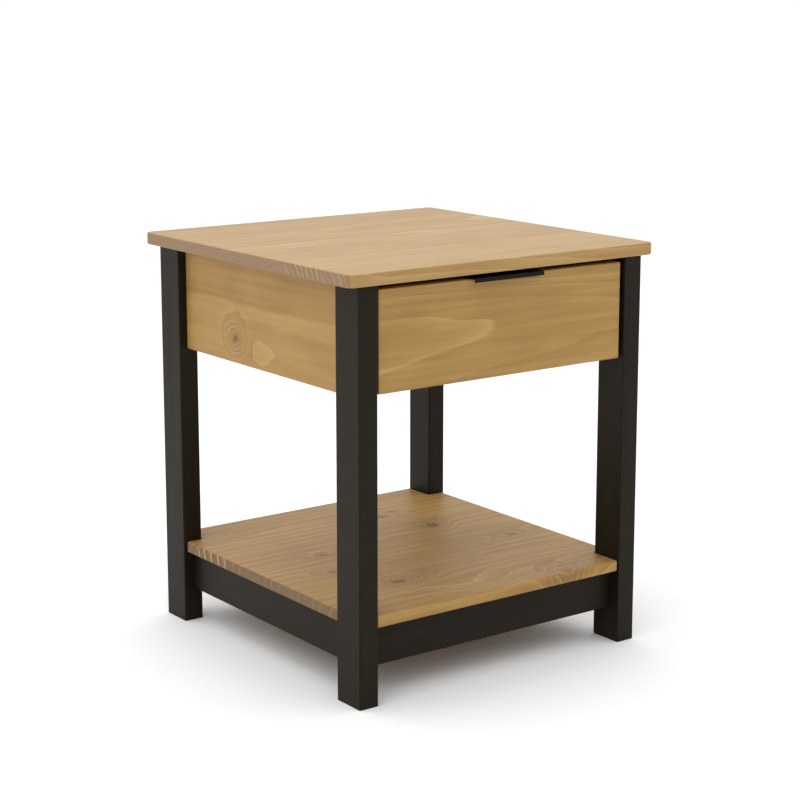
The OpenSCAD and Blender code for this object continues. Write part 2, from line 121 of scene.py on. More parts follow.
class TableSizes(bpy.types.PropertyGroup):
    """Round-overs and metal sizes of the table."""

    top_corner: size("Top Corner", 10, "Radius of the table top's four corners")
    top_edge: size("Top Edge", 2, "Radius of the table top's edges")
    shelf_edge: size("Shelf Edge", 2, "Radius of the shelf's edges")
    board_edge: size("Board Edge", 1.5, "Radius of the long edges of aprons, legs and rails")
    board_end: size("Board End", 0.45, "Radius of the edges round the ends of aprons and rails")
    leg_end: size("Leg End", 0.9, "Radius of the edges round the ends of the legs")
    drawer_edge: size("Drawer Edge", 0.8, "Radius of the edges of the drawer's boards")
    groove_gap: size("Groove Gap", 0.15, "Room that the drawer's bottom has in its groove")
    notch_gap: size("Notch Gap", 0.5, "Room between the shelf and each leg")
    handle_metal: size("Handle Metal", 1.5, "Thickness of the handle's metal strip")
    handle_bend: size("Handle Bend", 2.5, "Outside radius of the handle's bends")
    handle_lip: size("Handle Lip", 5, "Height of the handle's front lip")
    screw_hole: size("Screw Hole", 2.1, "Radius of the holes in the handle and brackets")
    bracket_metal: size("Bracket Metal", 1.5, "Thickness of the angle brackets")
    bracket_bend: size("Bracket Bend", 2.2, "Outside radius of the angle brackets' bend")
    runner_metal: size("Runner Metal", 1.2, "Thickness of the drawer runners")
    runner_bend: size("Runner Bend", 1.6, "Outside radius of the drawer runners' bends")
    head_height: size("Screw Head Height", 2.2, "Height of a round screw head")
    thread_pitch: size("Thread Pitch", 1.4, "Distance between the turns of a screw's thread")
    panel_corner: size("Panel Corner", 0.4, "Radius of the four corners of the drawer's bottom")
    panel_edge: size("Panel Edge", 0.3, "Radius of the edges of the drawer's bottom")
    axle_bore: size("Axle Bore", 2.6, "Radius of the bore of a roller")
    roller_dish: size("Roller Dish", 0.6, "Depth of the dish in each face of a roller")
    roller_lip: size("Roller Lip", 0.5, "Radius of a roller's rounded rim")
    roller_hub: share("Roller Hub", 0.58, "Radius of a roller's raised hub, as a share of the roller's")
    roller_rim: share("Roller Rim", 0.80, "Radius where a roller's rim starts, as a share of the roller's")
    curve_steps: whole("Curve Steps", 32, 12, 96, "Faces round a roller")
    screw_steps: whole("Screw Steps", 16, 8, 48, "Faces round a screw")


class TableFinishes(bpy.types.PropertyGroup):
    """Colours and gloss of the table's finishes."""

    pine: colour("Pine", 0.358, 0.206, 0.056, "Middle tone of the stained pine")
    pine_pale: colour("Pale Pine", 0.49, 0.318, 0.118, "Palest grain of the stained pine")
    pine_dark: colour("Dark Pine", 0.24, 0.122, 0.033, "Darkest grain of the stained pine")
    end_grain: colour("End Grain", 0.245, 0.145, 0.064, "Stained pine where it is cut across")
    knot: colour("Knot", 0.105, 0.044, 0.006, "Heart of a knot")
    pine_rough: share("Pine Roughness", 0.47, "Roughness of the waxed pine")
    raw_pine: colour("Drawer Pine", 0.52, 0.37, 0.20, "Unstained pine of the drawer's box")
    paint: colour("Black Paint", 0.0100, 0.0076, 0.0046, "Paint of the legs and rails")
    paint_rough: share("Paint Roughness", 0.44, "Roughness of the black paint")
    metal: colour("Black Metal", 0.0052, 0.0046, 0.0038, "Coating of the handle")
    metal_rough: share("Metal Roughness", 0.42, "Roughness of the handle's coating")
    enamel: colour("Runner Enamel", 0.72, 0.69, 0.60, "Enamel of the drawer runners")
    zinc: colour("Zinc", 0.62, 0.63, 0.64, "Plating of screws and brackets")
    nylon: colour("Nylon", 0.80, 0.80, 0.76, "Nylon of the rollers")
    plywood: colour("Plywood", 0.56, 0.42, 0.25, "Face of the drawer's bottom")
    beech: colour("Beech", 0.52, 0.35, 0.21, "Dowels")


class StageSettings(bpy.types.PropertyGroup):
    """Floor, lights and camera."""

    floor_side: number("Floor Side", 40.0, "Length of the square floor's side", 2.0, **DISTANCE)
    floor: colour("Floor", 0.93, 0.93, 0.93, "Colour of the floor")
    ceiling_light: number("Ceiling Light", 1.3, "Brightness of the white ceiling")
    back_light: number("Back Light", 1.0, "Brightness of the room behind the table")
    front_light: number("Front Light", 0.45, "Brightness of the room in front of the table")
    key_power: number("Key Light Power", 9.5, "Watts of the large lamp at the left", unit="POWER")
    key_side: number("Key Light Side", 2.0, "Length of that square lamp's side", **DISTANCE)
    key_place: spot("Key Light Place", (-2.6, -1.2, 1.9), "Where that lamp hangs")
    top_power: number("Top Light Power", 12.0, "Watts of the large lamp above the table", unit="POWER")
    top_side: number("Top Light Side", 2.4, "Length of that square lamp's side", **DISTANCE)
    top_place: spot("Top Light Place", (-0.2, 0.4, 2.6), "Where that lamp hangs")
    lamp_aim: share("Lamp Aim", 0.6, "Height that the lamps point at, as a share of the table's")
    camera_place: spot("Camera Place", (-1.4133, -1.9331, 0.8191), "Where the camera stands")
    camera_turn: angle("Camera Turn", 36.33, "How far the camera looks to the right of straight back")
    camera_dip: angle("Camera Dip", 10.9, "How far the camera looks below level")
    camera_lens: number("Camera Lens", 88.1, "Focal length on a sensor 36 mm wide", 10.0, unit="CAMERA")
    camera_shift: number(
        "Camera Shift", 0.0625, "How far the view is shifted down, as a share of its width", max=0.2
    )


# ---------- Materials ----------
#
# Scales of patterns are in waves per millimetre, and reliefs and lengths are in millimetres.


class Finish:
    """A material whose nodes are added one after another and linked as they are made."""

    def __init__(self, name):
        self.material = bpy.data.materials.new(name)
        self.material.use_nodes = True
        self.tree = self.material.node_tree
        self.shader = self.tree.nodes["Principled BSDF"]
        where = self.node("TexCoord", {}).outputs["Object"]
        in_mm = self.node("VectorMath", {0: where, "Scale": 1 / MM}, operation="SCALE")
        # The point in millimetres, along X, Y and Z or along a board's grain, width and depth
        self.lines = self.parts(in_mm.outputs[0])

    def put(self, socket, value):
        """Links a socket to a value that is a socket, or sets it to a number or colour."""
        if isinstance(value, bpy.types.NodeSocket):
            self.tree.links.new(value, socket)
        else:
            socket.default_value = value

    def node(self, kind, inputs, **settings):
        """A node of a kind, with its settings and its inputs by name or number."""
        made = self.tree.nodes.new("ShaderNode" + kind)
        for key, value in settings.items():
            setattr(made, key, value)
        for key, value in inputs.items():
            self.put(made.inputs[key], value)
        return made

    def math(self, operation, first, second=0.0, third=0.0):
        """The result of a calculation on up to three values."""
        inputs = {0: first, 1: second, 2: third}
        return self.node("Math", inputs, operation=operation).outputs[0]

    def add(self, first, second):
        """The sum of two values."""
        return self.math("ADD", first, second)

    def multiply(self, first, second):
        """The product of two values."""
        return self.math("MULTIPLY", first, second)

    def multiply_add(self, first, second, third):
        """The product of two values, with a third one added."""
        return self.math("MULTIPLY_ADD", first, second, third)

    def parts(self, vector):
        """The three values of a vector."""
        return self.node("SeparateXYZ", {0: vector}).outputs

    def vector(self, x, y, z):
        """Three values as a vector."""
        return self.node("CombineXYZ", {0: x, 1: y, 2: z}).outputs[0]

    def stretched(self, values, scales, shift=0.0):
        """Three values as a vector, each first scaled, the first one also shifted."""
        scaled = [self.multiply(value, scale) for value, scale in zip(values, scales)]
        return self.vector(self.add(scaled[0], shift), scaled[1], scaled[2])

    def noise(self, vector, detail=2.0, rough=0.5):
        """A noise texture: output 0 is its value and output 1 its colour."""
        inputs = {"Vector": vector, "Scale": 1.0, "Detail": detail, "Roughness": rough}
        return self.node("TexNoise", inputs, noise_dimensions="3D").outputs

    def pattern(self, scales, detail=2.0, rough=0.5, shift=0.0):
        """A noise from 0 to 1, with these scales along the three lines."""
        return self.noise(self.stretched(self.lines, scales, shift), detail, rough)[0]

    def drifts(self, values, scales, detail=2.0, shift=0.0):
        """Three noises from 0 to 1 that vary apart from each other."""
        return self.parts(self.noise(self.stretched(values, scales, shift), detail)[1])

    def swing(self, value, amount):
        """A value from 0 to 1, turned into one from -amount to amount."""
        return self.multiply_add(value, 2 * amount, -amount)

    def step(self, value, low, high):
        """0 below low, 1 above high, and smooth between them."""
        inputs = {"Value": value, "From Min": low, "From Max": high}
        return self.node("MapRange", inputs, interpolation_type="SMOOTHSTEP").outputs[0]

    def ramp(self, value, stops):
        """A colour ramp with these (position, colour) stops."""
        made = self.node("ValToRGB", {0: value})
        elements = made.color_ramp.elements
        while len(elements) < len(stops):
            elements.new(1.0)
        for element, (position, shade) in zip(elements, stops):
            element.position = position
            element.color = (*shade, 1.0)
        return made.outputs[0]

    def mix(self, factor, first, second):
        """Two colours mixed."""
        inputs = {0: factor, 6: opaque(first), 7: opaque(second)}
        return self.node("Mix", inputs, data_type="RGBA").outputs[2]

    def facing(self):
        """How far the surface faces along X, Y and Z."""
        return self.parts(self.node("TexCoord", {}).outputs["Normal"])

    def shine(self, rough_middle, rough_value, rough_swing):
        """Sets the roughness to a middle value that a pattern from 0 to 1 raises and lowers."""
        change = self.swing(rough_value, rough_swing)
        self.put(self.shader.inputs["Roughness"], self.add(change, rough_middle))

    def relief(self, height, strength, depth):
        """Raises and lowers the surface by a pattern, to a depth in millimetres."""
        inputs = {"Strength": strength, "Distance": depth * MM, "Height": height}
        bump = self.node("Bump", inputs)
        self.put(self.shader.inputs["Normal"], bump.outputs[0])

    def colour(self, value):
        """Sets the base colour."""
        self.put(self.shader.inputs["Base Color"], value)

    def plain(self, name, value):
        """Sets a socket of the shader to a number or colour that is the same all over."""
        self.shader.inputs[name].default_value = value


def opaque(shade):
    """A plain colour with its alpha, or a socket as it is."""
    return shade if isinstance(shade, bpy.types.NodeSocket) else (*shade, 1.0)


def times(shade, factor):
    """A plain colour made lighter or darker."""
    return tuple(min(1.0, part * factor) for part in shade)


# Knot: its place along and across the grain, the radius of its heart (0 for a swirl without one),
# by how many growth rings it shifts those round it, how far it reaches, and how much longer than
# wide it is. Lengths are in millimetres.
Knot = namedtuple("Knot", "along across heart rings reach stretch")

# Figure: the axes of a board's grain, width and depth, its own seed, the distance between growth
# rings, how fast the pith leans away along the grain, the pith's place in the board's depth and
# width, how much lower a stave's pith may be, the staves' width, where the first one starts, and
# the knots. Lengths are in millimetres.
Figure = namedtuple(
    "Figure",
    "grain width depth seed spacing lean pith_deep pith_across pith_reach stave first knots",
    defaults=(0, 0, 0, 0, ()),
)

FIGURES = {
    "top": Figure(
        "X", "Y", "Z", seed=3, spacing=9.0, lean=0.09, pith_deep=455, pith_reach=90, stave=75, first=-172
    ),
    "shelf": Figure(
        "X", "Y", "Z", seed=8, spacing=15.0, lean=0.10, pith_deep=84, pith_reach=40, stave=72, first=-217,
        knots=(
            Knot(-99, 18, 2.0, 1.6, 12, 1.6),
            Knot(-130, -49, 3.0, 2.4, 14, 1.9),
            Knot(94, 44, 9.5, 4.4, 21, 0.9),
            Knot(62, 116, 3.6, 2.2, 12, 2.0),
            Knot(88, 128, 3.0, 1.8, 9, 1.6),
            Knot(-86, -126, 4.4, 4.8, 19, 2.0),
            Knot(150, -50, 3.4, 2.4, 14, 2.4),
            Knot(104, -212, 3.0, 4.8, 27, 1.3),
            Knot(-20, -185, 0.0, 1.6, 26, 2.6),
        ),
    ),
    "left_apron": Figure(
        "Y", "Z", "X", seed=11, spacing=72.0, lean=0.02, pith_deep=-140, pith_across=300,
        knots=(Knot(55, 386, 4.2, 4.4, 18.5, 1.2), Knot(2, 383, 0.0, -0.60, 20, 2.4)),
    ),
    "right_apron": Figure(
        "Y", "Z", "X", seed=17, spacing=14.0, lean=-0.05, pith_deep=150, pith_across=400,
        knots=(Knot(-70, 430, 4.5, 2.6, 15, 1.7),),
    ),
    "back_apron": Figure(
        "X", "Z", "Y", seed=23, spacing=12.0, lean=0.06, pith_deep=150, pith_across=425,
        knots=(Knot(95, 392, 5.0, 2.8, 16, 1.8),),
    ),
    "drawer_front": Figure(
        "X", "Z", "Y", seed=29, spacing=17.0, lean=0.07, pith_deep=-145, pith_across=420,
        knots=(Knot(0, 490, 0.0, 2.6, 30, 30),),
    ),
}


# Look: how glossy a board is, how strong its ring lines and its contrast are, how wavy its rings
# are in millimetres, and how light its end grain is. Boards without one here have the plain look.
Look = namedtuple("Look", "gloss lines contrast ripple end", defaults=(0.3, 0.85, 1.0, 1.1, 1.0))

LOOKS = {
    "top": Look(gloss=0.6),
    "shelf": Look(contrast=1.35, end=0.72),
    "left_apron": Look(lines=1.05, ripple=0.8),
    "drawer_front": Look(ripple=0.35),
}


# The tone across a growth ring as (position, tone) stops, 0 the darkest and 1 the palest: dark at its
# inner edge, slowly paler, then a pale line that ends sharply at its outer edge
RING_TONES = [(0.0, 0.24), (0.2, 0.36), (0.65, 0.50), (0.88, 0.68), (0.95, 0.90), (1.0, 0.26)]


def knot_figure(finish, knot, seed):
    """How far a knot pushes the rings out, how dark its heart is and how near the point is."""
    along, across, _ = finish.lines
    near = finish.math("DIVIDE", finish.math("SUBTRACT", along, knot.along), knot.stretch)
    beside = finish.math("SUBTRACT", across, knot.across)
    ragged = finish.drifts((near, beside, seed), (0.11, 0.11, 1.0), 3.0)
    raggedness = 0.22 * knot.reach
    near = finish.add(near, finish.swing(ragged[0], raggedness))
    beside = finish.add(beside, finish.swing(ragged[1], raggedness))
    square = finish.add(*(finish.multiply(part, part) for part in (near, beside)))
    share_left = finish.math("EXPONENT", finish.multiply(square, -1 / knot.reach**2))
    push = finish.multiply(share_left, knot.rings)
    if not knot.heart:
        return push, 0.0, 0.0
    # The heart has a soft edge and fine darker rings, and the wood near it is a little darker too
    distance = finish.math("SQRT", square)
    heart = finish.step(distance, knot.heart * 1.25, knot.heart * 0.7)
    turns = finish.math("SINE", finish.multiply(distance, 6.0 / knot.heart))
    ringed = finish.multiply_add(turns, -0.16, 0.84)
    rim = finish.multiply(share_left, 0.3)
    return push, finish.math("MAXIMUM", finish.multiply(heart, ringed), rim), share_left


def growth_rings(finish, figure):
    """The count of growth rings from the pith, and each stave's own random value."""
    along, across, deep = finish.lines
    wander = finish.drifts(finish.lines, (0.005, 0.022, 0.022), shift=figure.seed)
    pith_across, pith_deep, lean = figure.pith_across, figure.pith_deep, figure.lean
    own = 0.5
    if figure.stave:
        from_first = finish.math("SUBTRACT", across, figure.first)
        number = finish.math("FLOOR", finish.math("DIVIDE", from_first, figure.stave))
        seeded = finish.vector(number, figure.seed, 0.5)
        random = finish.node("TexWhiteNoise", {"Vector": seeded}, noise_dimensions="3D")
        draws = finish.parts(random.outputs["Color"])
        middle = finish.multiply_add(number, figure.stave, figure.first + figure.stave / 2)
        # A stave's pith may lie almost two staves away to either side
        pith_across = finish.add(middle, finish.swing(draws[0], figure.stave * 1.9))
        pith_deep = finish.multiply_add(draws[1], -figure.pith_reach, figure.pith_deep)
        lean = finish.swing(draws[2], figure.lean)
        own = random.outputs["Value"]
    wander_by = 7.0
    away = finish.math("SUBTRACT", across, pith_across)
    away = finish.add(away, finish.swing(wander[0], wander_by))
    down = finish.math("SUBTRACT", deep, finish.multiply_add(along, lean, pith_deep))
    down = finish.add(down, finish.swing(wander[1], wander_by))
    square = finish.add(*(finish.multiply(part, part) for part in (away, down)))
    return finish.math("DIVIDE", finish.math("SQRT", square), figure.spacing), own


def bend_round_knots(finish, figure, count):
    """The ring count bent round a board's knots, how dark their hearts are and how near they are."""
    heart = near = 0.0
    for number, knot in enumerate(figure.knots):
        push, shade, close = knot_figure(finish, knot, figure.seed + 3.7 * number)
        count = finish.add(count, push)
        heart = finish.math("MAXIMUM", heart, shade)
        near = finish.math("MAXIMUM", near, close)
    return count, heart, near


def ring_lines(finish, figure, look, count, near):
    """The tone across each growth ring, and the same as a line with a strength of its own."""
    wave = finish.pattern((0.03, 0.16, 0.16), shift=figure.seed + 5)
    count = finish.add(count, finish.swing(wave, look.ripple / figure.spacing))
    year = finish.math("FLOOR", count)
    draw = finish.node("TexWhiteNoise", {"W": year}, noise_dimensions="1D").outputs["Value"]
    strength = finish.multiply_add(near, 0.7, finish.multiply_add(draw, 0.9, 0.25))
    greys = [(position, (tone,) * 3) for position, tone in RING_TONES]
    profile = finish.ramp(finish.math("FRACT", count), greys)
    return profile, finish.multiply(finish.math("SUBTRACT", profile, 0.45), strength)


def end_grain(finish, look, shades, rings, fibre, own):
    """The colour where the board is cut across: rings that some staves show more than others."""
    _, pale, _, end = shades
    marked = finish.multiply_add(finish.step(own, 0.45, 0.95), 1.5, 0.35)
    tone = finish.multiply_add(finish.multiply(rings, marked), look.contrast, 0.45)
    tone = finish.add(tone, finish.swing(fibre, 0.22))
    return finish.ramp(tone, [(0.0, times(end, 0.74)), (0.5, end), (1.0, times(pale, 0.85))])


def pine(name, figure, shades, rough, look):
    """Waxed pine with growth rings, fibres, knots and darker end grain."""
    finish = Finish(name)
    place = dict(zip("XYZ", finish.lines))
    finish.lines = [place[axis] for axis in (figure.grain, figure.width, figure.depth)]
    count, own = growth_rings(finish, figure)
    count, heart, near = bend_round_knots(finish, figure, count)
    profile, rings = ring_lines(finish, figure, look, count, near)
    # Waves that are long along the grain and short across it
    fibre = finish.pattern((0.035, 1.5, 1.5), 4.0, 0.65, figure.seed)
    streak = finish.pattern((0.006, 0.16, 0.16), 3.0, shift=figure.seed + 2)
    cloud = finish.pattern((0.012, 0.02, 0.02), shift=figure.seed + 9)
    fleck = finish.step(finish.pattern((0.18, 1.1, 1.1), 1.0, shift=figure.seed + 4), 0.64, 0.74)
    tone = finish.multiply_add(rings, look.lines * look.contrast, 0.5)
    for pattern, amount in (fibre, 0.20), (streak, 0.34 * look.contrast), (cloud, 0.26), (own, 0.10):
        tone = finish.add(tone, finish.swing(pattern, amount))
    tone = finish.multiply_add(fleck, -0.10, tone)
    middle, pale, dark, _ = shades
    face = finish.ramp(tone, [(0.0, dark), (0.5, middle), (1.0, pale)])
    face = finish.mix(finish.multiply(cloud, 0.35), face, times(middle, 1.02))
    # Where the board is cut across its grain, the end grain takes over
    facing = dict(zip("XYZ", finish.facing()))[figure.grain]
    cut = finish.step(finish.math("ABSOLUTE", facing), 0.55, 0.9)
    wood = finish.mix(cut, face, end_grain(finish, look, shades, rings, fibre, own))
    if figure.knots:
        heart = finish.multiply(heart, finish.multiply_add(fibre, 0.5, 0.62))
        wood = finish.mix(heart, wood, BUILD.finishes.knot)
    finish.colour(wood)
    finish.shine(rough, finish.multiply_add(cut, 0.25, fibre), 0.12)
    height = finish.multiply_add(profile, 0.5, fibre)
    finish.relief(finish.multiply_add(fleck, -0.6, height), 0.22, 0.12)
    finish.plain("Specular IOR Level", look.gloss)
    return finish.material


class Build:
    """What the operators share: the user's settings and the materials made so far."""

    def __init__(self):
        self.made = {}

    @property
    def sizes(self):
        return bpy.context.scene.table_sizes

    @property
    def finishes(self):
        return bpy.context.scene.table_finishes

    @property
    def stage(self):
        return bpy.context.scene.table_stage

    def finish(self, name, maker, *given):
        """The material of this name, made on its first use."""
        if name not in self.made:
            self.made[name] = maker(name, *given)
        return self.made[name]


BUILD = Build()


def stained_pine(name):
    """Stained and waxed pine for one of the boards in FIGURES."""
    looks = BUILD.finishes
    board_name = name.replace("_pine", "")
    look = LOOKS.get(board_name, Look())
    end = times(looks.end_grain, look.end)
    shades = (looks.pine, looks.pine_pale, looks.pine_dark, end)
    return pine(name, FIGURES[board_name], shades, looks.pine_rough, look)


def drawer_pine(name, grain, depth):
    """Plain pale pine for the drawer's box."""
    looks = BUILD.finishes
    seed = 41 if grain == "Y" else 47
    figure = Figure(grain, "Z", depth, seed, spacing=5.0, lean=0.04, pith_deep=60, pith_across=330)
    shades = [times(looks.raw_pine, factor) for factor in (1.0, 1.18, 0.72, 0.7)]
    return pine(name, figure, shades, 0.6, Look(lines=0.8))


def black_paint(name, grain):
    """Satin black paint over wood, with the grain just showing through."""
    looks = BUILD.finishes
    finish = Finish(name)
    scales = [0.02 if axis == grain else 0.7 for axis in "XYZ"]
    wide = [0.004 if axis == grain else 0.09 for axis in "XYZ"]
    grain_line = finish.pattern(scales, 4.0, 0.6)
    band = finish.pattern(wide)
    spray = finish.pattern((1.9,) * 3)
    tone = finish.add(finish.swing(grain_line, 0.35), band)
    shades = [(0.0, times(looks.paint, 0.75)), (0.5, looks.paint), (1.0, times(looks.paint, 1.5))]
    finish.colour(finish.ramp(tone, shades))
    finish.shine(looks.paint_rough, finish.add(finish.swing(spray, 0.4), band), 0.10)
    height = finish.multiply_add(spray, 0.35, grain_line)
    finish.relief(height, 0.35, 0.10)
    finish.plain("Specular IOR Level", 0.14)
    finish.plain("Specular Tint", (1.0, 0.86, 0.70, 1.0))
    return finish.material


def black_metal(name):
    """Fine textured black coating on steel."""
    looks = BUILD.finishes
    finish = Finish(name)
    grit = finish.pattern((3.2,) * 3, 3.0, 0.6)
    patch = finish.pattern((0.08,) * 3)
    shades = [(0.3, times(looks.metal, 0.8)), (0.7, times(looks.metal, 1.3))]
    finish.colour(finish.ramp(patch, shades))
    finish.shine(looks.metal_rough, grit, 0.12)
    finish.relief(grit, 0.3, 0.05)
    finish.plain("Specular IOR Level", 0.12)
    finish.plain("Specular Tint", (1.0, 0.9, 0.8, 1.0))
    return finish.material


def runner_enamel(name):
    """Cream enamel on rolled steel, with the faint ripple of a dipped coat."""
    looks = BUILD.finishes
    finish = Finish(name)
    ripple = finish.pattern((0.5, 0.12, 0.5), 3.0)
    dust = finish.pattern((0.05, 0.03, 0.05), 4.0, 0.6)
    shades = [(0.3, times(looks.enamel, 0.9)), (0.7, looks.enamel)]
    finish.colour(finish.ramp(dust, shades))
    finish.shine(0.32, dust, 0.12)
    finish.relief(ripple, 0.25, 0.08)
    return finish.material


def zinc_plate(name):
    """Bright zinc on steel, with soft patches and fine rolling lines."""
    looks = BUILD.finishes
    finish = Finish(name)
    cells = finish.node("TexVoronoi", {"Vector": finish.vector(*finish.lines), "Scale": 0.5})
    lines = finish.pattern((0.3, 3.0, 0.3), 3.0)
    patch = finish.parts(cells.outputs["Color"])[0]
    shades = [(0.0, times(looks.zinc, 0.86)), (1.0, times(looks.zinc, 1.1))]
    finish.colour(finish.ramp(patch, shades))
    finish.shine(0.34, patch, 0.08)
    finish.relief(lines, 0.15, 0.04)
    finish.plain("Metallic", 1.0)
    return finish.material


def moulded_nylon(name):
    """White nylon, a little dusty, that lets some light in."""
    looks = BUILD.finishes
    finish = Finish(name)
    haze = finish.pattern((0.4,) * 3, 4.0)
    skin = finish.pattern((3.0,) * 3)
    finish.colour(finish.ramp(haze, [(0.3, times(looks.nylon, 0.88)), (0.7, looks.nylon)]))
    finish.shine(0.4, haze, 0.1)
    finish.relief(skin, 0.15, 0.04)
    finish.plain("Subsurface Weight", 0.15)
    finish.plain("Subsurface Scale", 2 * MM)
    return finish.material


def thin_plywood(name):
    """Thin plywood: a rotary-cut face with broad waves, and plies along its edges."""
    looks = BUILD.finishes
    finish = Finish(name)
    low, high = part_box("drawer_bottom")
    wave = finish.pattern((0.004, 0.018, 0.02), 3.0)
    bands = finish.math("FRACT", finish.multiply(wave, 11.0))
    fibre = finish.pattern((0.03, 1.4, 0.5), 4.0, 0.6)
    tone = finish.add(finish.multiply(bands, 0.4), finish.swing(fibre, 0.3))
    shades = [(0.0, times(looks.plywood, 0.8)), (0.7, looks.plywood), (1.0, times(looks.plywood, 1.12))]
    face = finish.ramp(finish.add(tone, 0.3), shades)
    # Three plies: the middle one shows as a dark line on the edges
    third = (high.z - low.z) / MM / 3
    ply = finish.math("DIVIDE", finish.math("SUBTRACT", finish.lines[2], low.z / MM), third)
    core = finish.math("COMPARE", ply, 1.5, 0.5)
    upward = finish.math("ABSOLUTE", finish.facing()[2])
    edge = finish.multiply(core, finish.step(upward, 0.8, 0.4))
    finish.colour(finish.mix(edge, face, times(looks.plywood, 0.55)))
    finish.shine(0.6, fibre, 0.1)
    finish.relief(fibre, 0.2, 0.08)
    return finish.material


def turned_beech(name):
    """Beech with its short dark flecks along the dowel."""
    looks = BUILD.finishes
    finish = Finish(name)
    fleck = finish.pattern((0.9,) * 3)
    cloud = finish.pattern((0.1,) * 3)
    shade = finish.math("SUBTRACT", cloud, finish.multiply(finish.step(fleck, 0.6, 0.7), 0.4))
    finish.colour(finish.ramp(shade, [(0.0, times(looks.beech, 0.6)), (0.6, looks.beech)]))
    finish.shine(0.6, fleck, 0.1)
    finish.relief(fleck, 0.2, 0.1)
    return finish.material


# ---------- Mesh tools ----------

# For an outline across an axis: the outline's two axes, then the axis itself
ACROSS = {"X": (1, 2, 0), "Y": (0, 2, 1), "Z": (0, 1, 2)}

# How many faces make up an arc or a circle
CORNER_STEPS = 8
LONG_EDGE_STEPS = 4
END_EDGE_STEPS = 3
BEND_STEPS = 5
HOLE_STEPS = 20

# Edges that turn by more than these angles are rounded over, or stay sharp when shaded
EASED_ANGLE = math.radians(50)
SHEARED_ANGLE = math.radians(60)
SHARP_ANGLE = math.radians(40)
ROLLER_SHARP_ANGLE = math.radians(60)

# Radius of a sheet's sheared edges, as a share of its thickness
SHEARED_EDGE = 0.14

# How near to each other points are the same one, and heights the same one, in metres
SAME_POINT = 0.001 * MM
SAME_HEIGHT = 0.01 * MM


def rectangle(low_a, low_b, high_a, high_b):
    """The four corners of a rectangle, in order."""
    return [(low_a, low_b), (high_a, low_b), (high_a, high_b), (low_a, high_b)]


def round_corners(corners, radius):
    """A rectangle's outline with an arc at each corner."""
    (low_a, low_b), _, (high_a, high_b), _ = corners
    outline = []
    centres = rectangle(low_a + radius, low_b + radius, high_a - radius, high_b - radius)
    for turn, (a, b) in zip((180, 270, 0, 90), centres):
        for step in range(CORNER_STEPS + 1):
            angle = math.radians(turn + 90 * step / CORNER_STEPS)
            outline.append((a + radius * math.cos(angle), b + radius * math.sin(angle)))
    return outline


def prism(outline, low, high, axis):
    """A solid with an outline across an axis, from low to high along it."""
    first, second, along = ACROSS[axis]
    bm = bmesh.new()
    rings = []
    for height in (low, high):
        ring = []
        for a, b in outline:
            point = Vector()
            point[first], point[second], point[along] = a, b, height
            ring.append(bm.verts.new(point))
        rings.append(ring)
        bm.faces.new(ring)
    start, end = rings
    for here in range(len(outline)):
        after = (here + 1) % len(outline)
        bm.faces.new((start[here], start[after], end[after], end[here]))
    bmesh.ops.recalc_face_normals(bm, faces=bm.faces)
    return bm


def ease(bm, radius, chosen=None, steps=LONG_EDGE_STEPS):
    """Rounds over the outside edges of a solid, or those that chosen accepts."""
    edges = [
        edge
        for edge in bm.edges
        if edge.is_convex
        and edge.calc_face_angle() > EASED_ANGLE
        and (chosen is None or chosen(edge))
    ]
    bmesh.ops.bevel(
        bm, geom=edges, offset=radius, segments=steps, profile=0.5, affect="EDGES", clamp_overlap=True
    )


def board(node, axis, edge, end_edge=None):
    """A board as big as a CAD node, with its long edges rounded over more than its ends."""
    low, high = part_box(node)
    first, second, along = ACROSS[axis]
    corners = rectangle(low[first], low[second], high[first], high[second])
    bm = prism(corners, low[along], high[along], axis)

    def is_long(edge_line):
        start, end = (vertex.co for vertex in edge_line.verts)
        return abs((end - start).normalized()[along]) > 0.9

    ease(bm, edge, is_long)
    if end_edge:
        ease(bm, end_edge, lambda edge_line: not is_long(edge_line), END_EDGE_STEPS)
    return bm


def finish_piece(bm, name, body, material, nodes, metal=None, flat_faces=True):
    """Makes a piece of a mesh: its finish, its body and the CAD nodes it stands for.

    A sheet gets its thickness of metal, and pieces with large faces keep them flat when shaded.
    """
    bmesh.ops.recalc_face_normals(bm, faces=bm.faces)
    mesh = bpy.data.meshes.new(name)
    bm.to_mesh(mesh)
    bm.free()
    mesh.materials.append(material)
    mesh.shade_smooth()
    mesh.set_sharp_from_angle(angle=SHARP_ANGLE)
    piece = bpy.data.objects.new(name, mesh)
    bpy.context.scene.collection.objects.link(piece)
    if metal:
        thicken = piece.modifiers.new("Sheet Thickness", "SOLIDIFY")
        thicken.thickness = metal
        thicken.offset = 0.0
        thicken.use_even_offset = True
        round_over = piece.modifiers.new("Sheared Edges", "BEVEL")
        round_over.width = metal * SHEARED_EDGE
        round_over.segments = 2
        round_over.limit_method = "ANGLE"
        round_over.angle_limit = SHEARED_ANGLE
    if flat_faces:
        flat = piece.modifiers.new("Flat Faces", "WEIGHTED_NORMAL")
        flat.keep_sharp = not metal
    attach(piece, body)
    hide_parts(*nodes)
    return piece


def bent_path(corners, radius):
    """A path through corners, with an arc of this radius at each one between its ends."""
    path = [Vector(corners[0])]
    for before, corner, after in zip(corners, corners[1:], corners[2:]):
        corner = Vector(corner)
        back = (Vector(before) - corner).normalized()
        on = (Vector(after) - corner).normalized()
        centre = corner + (back + on) * radius
        for step in range(BEND_STEPS + 1):
            angle = math.pi / 2 * step / BEND_STEPS
            path.append(centre - on * radius * math.cos(angle) - back * radius * math.sin(angle))
    return path + [Vector(corners[-1])]


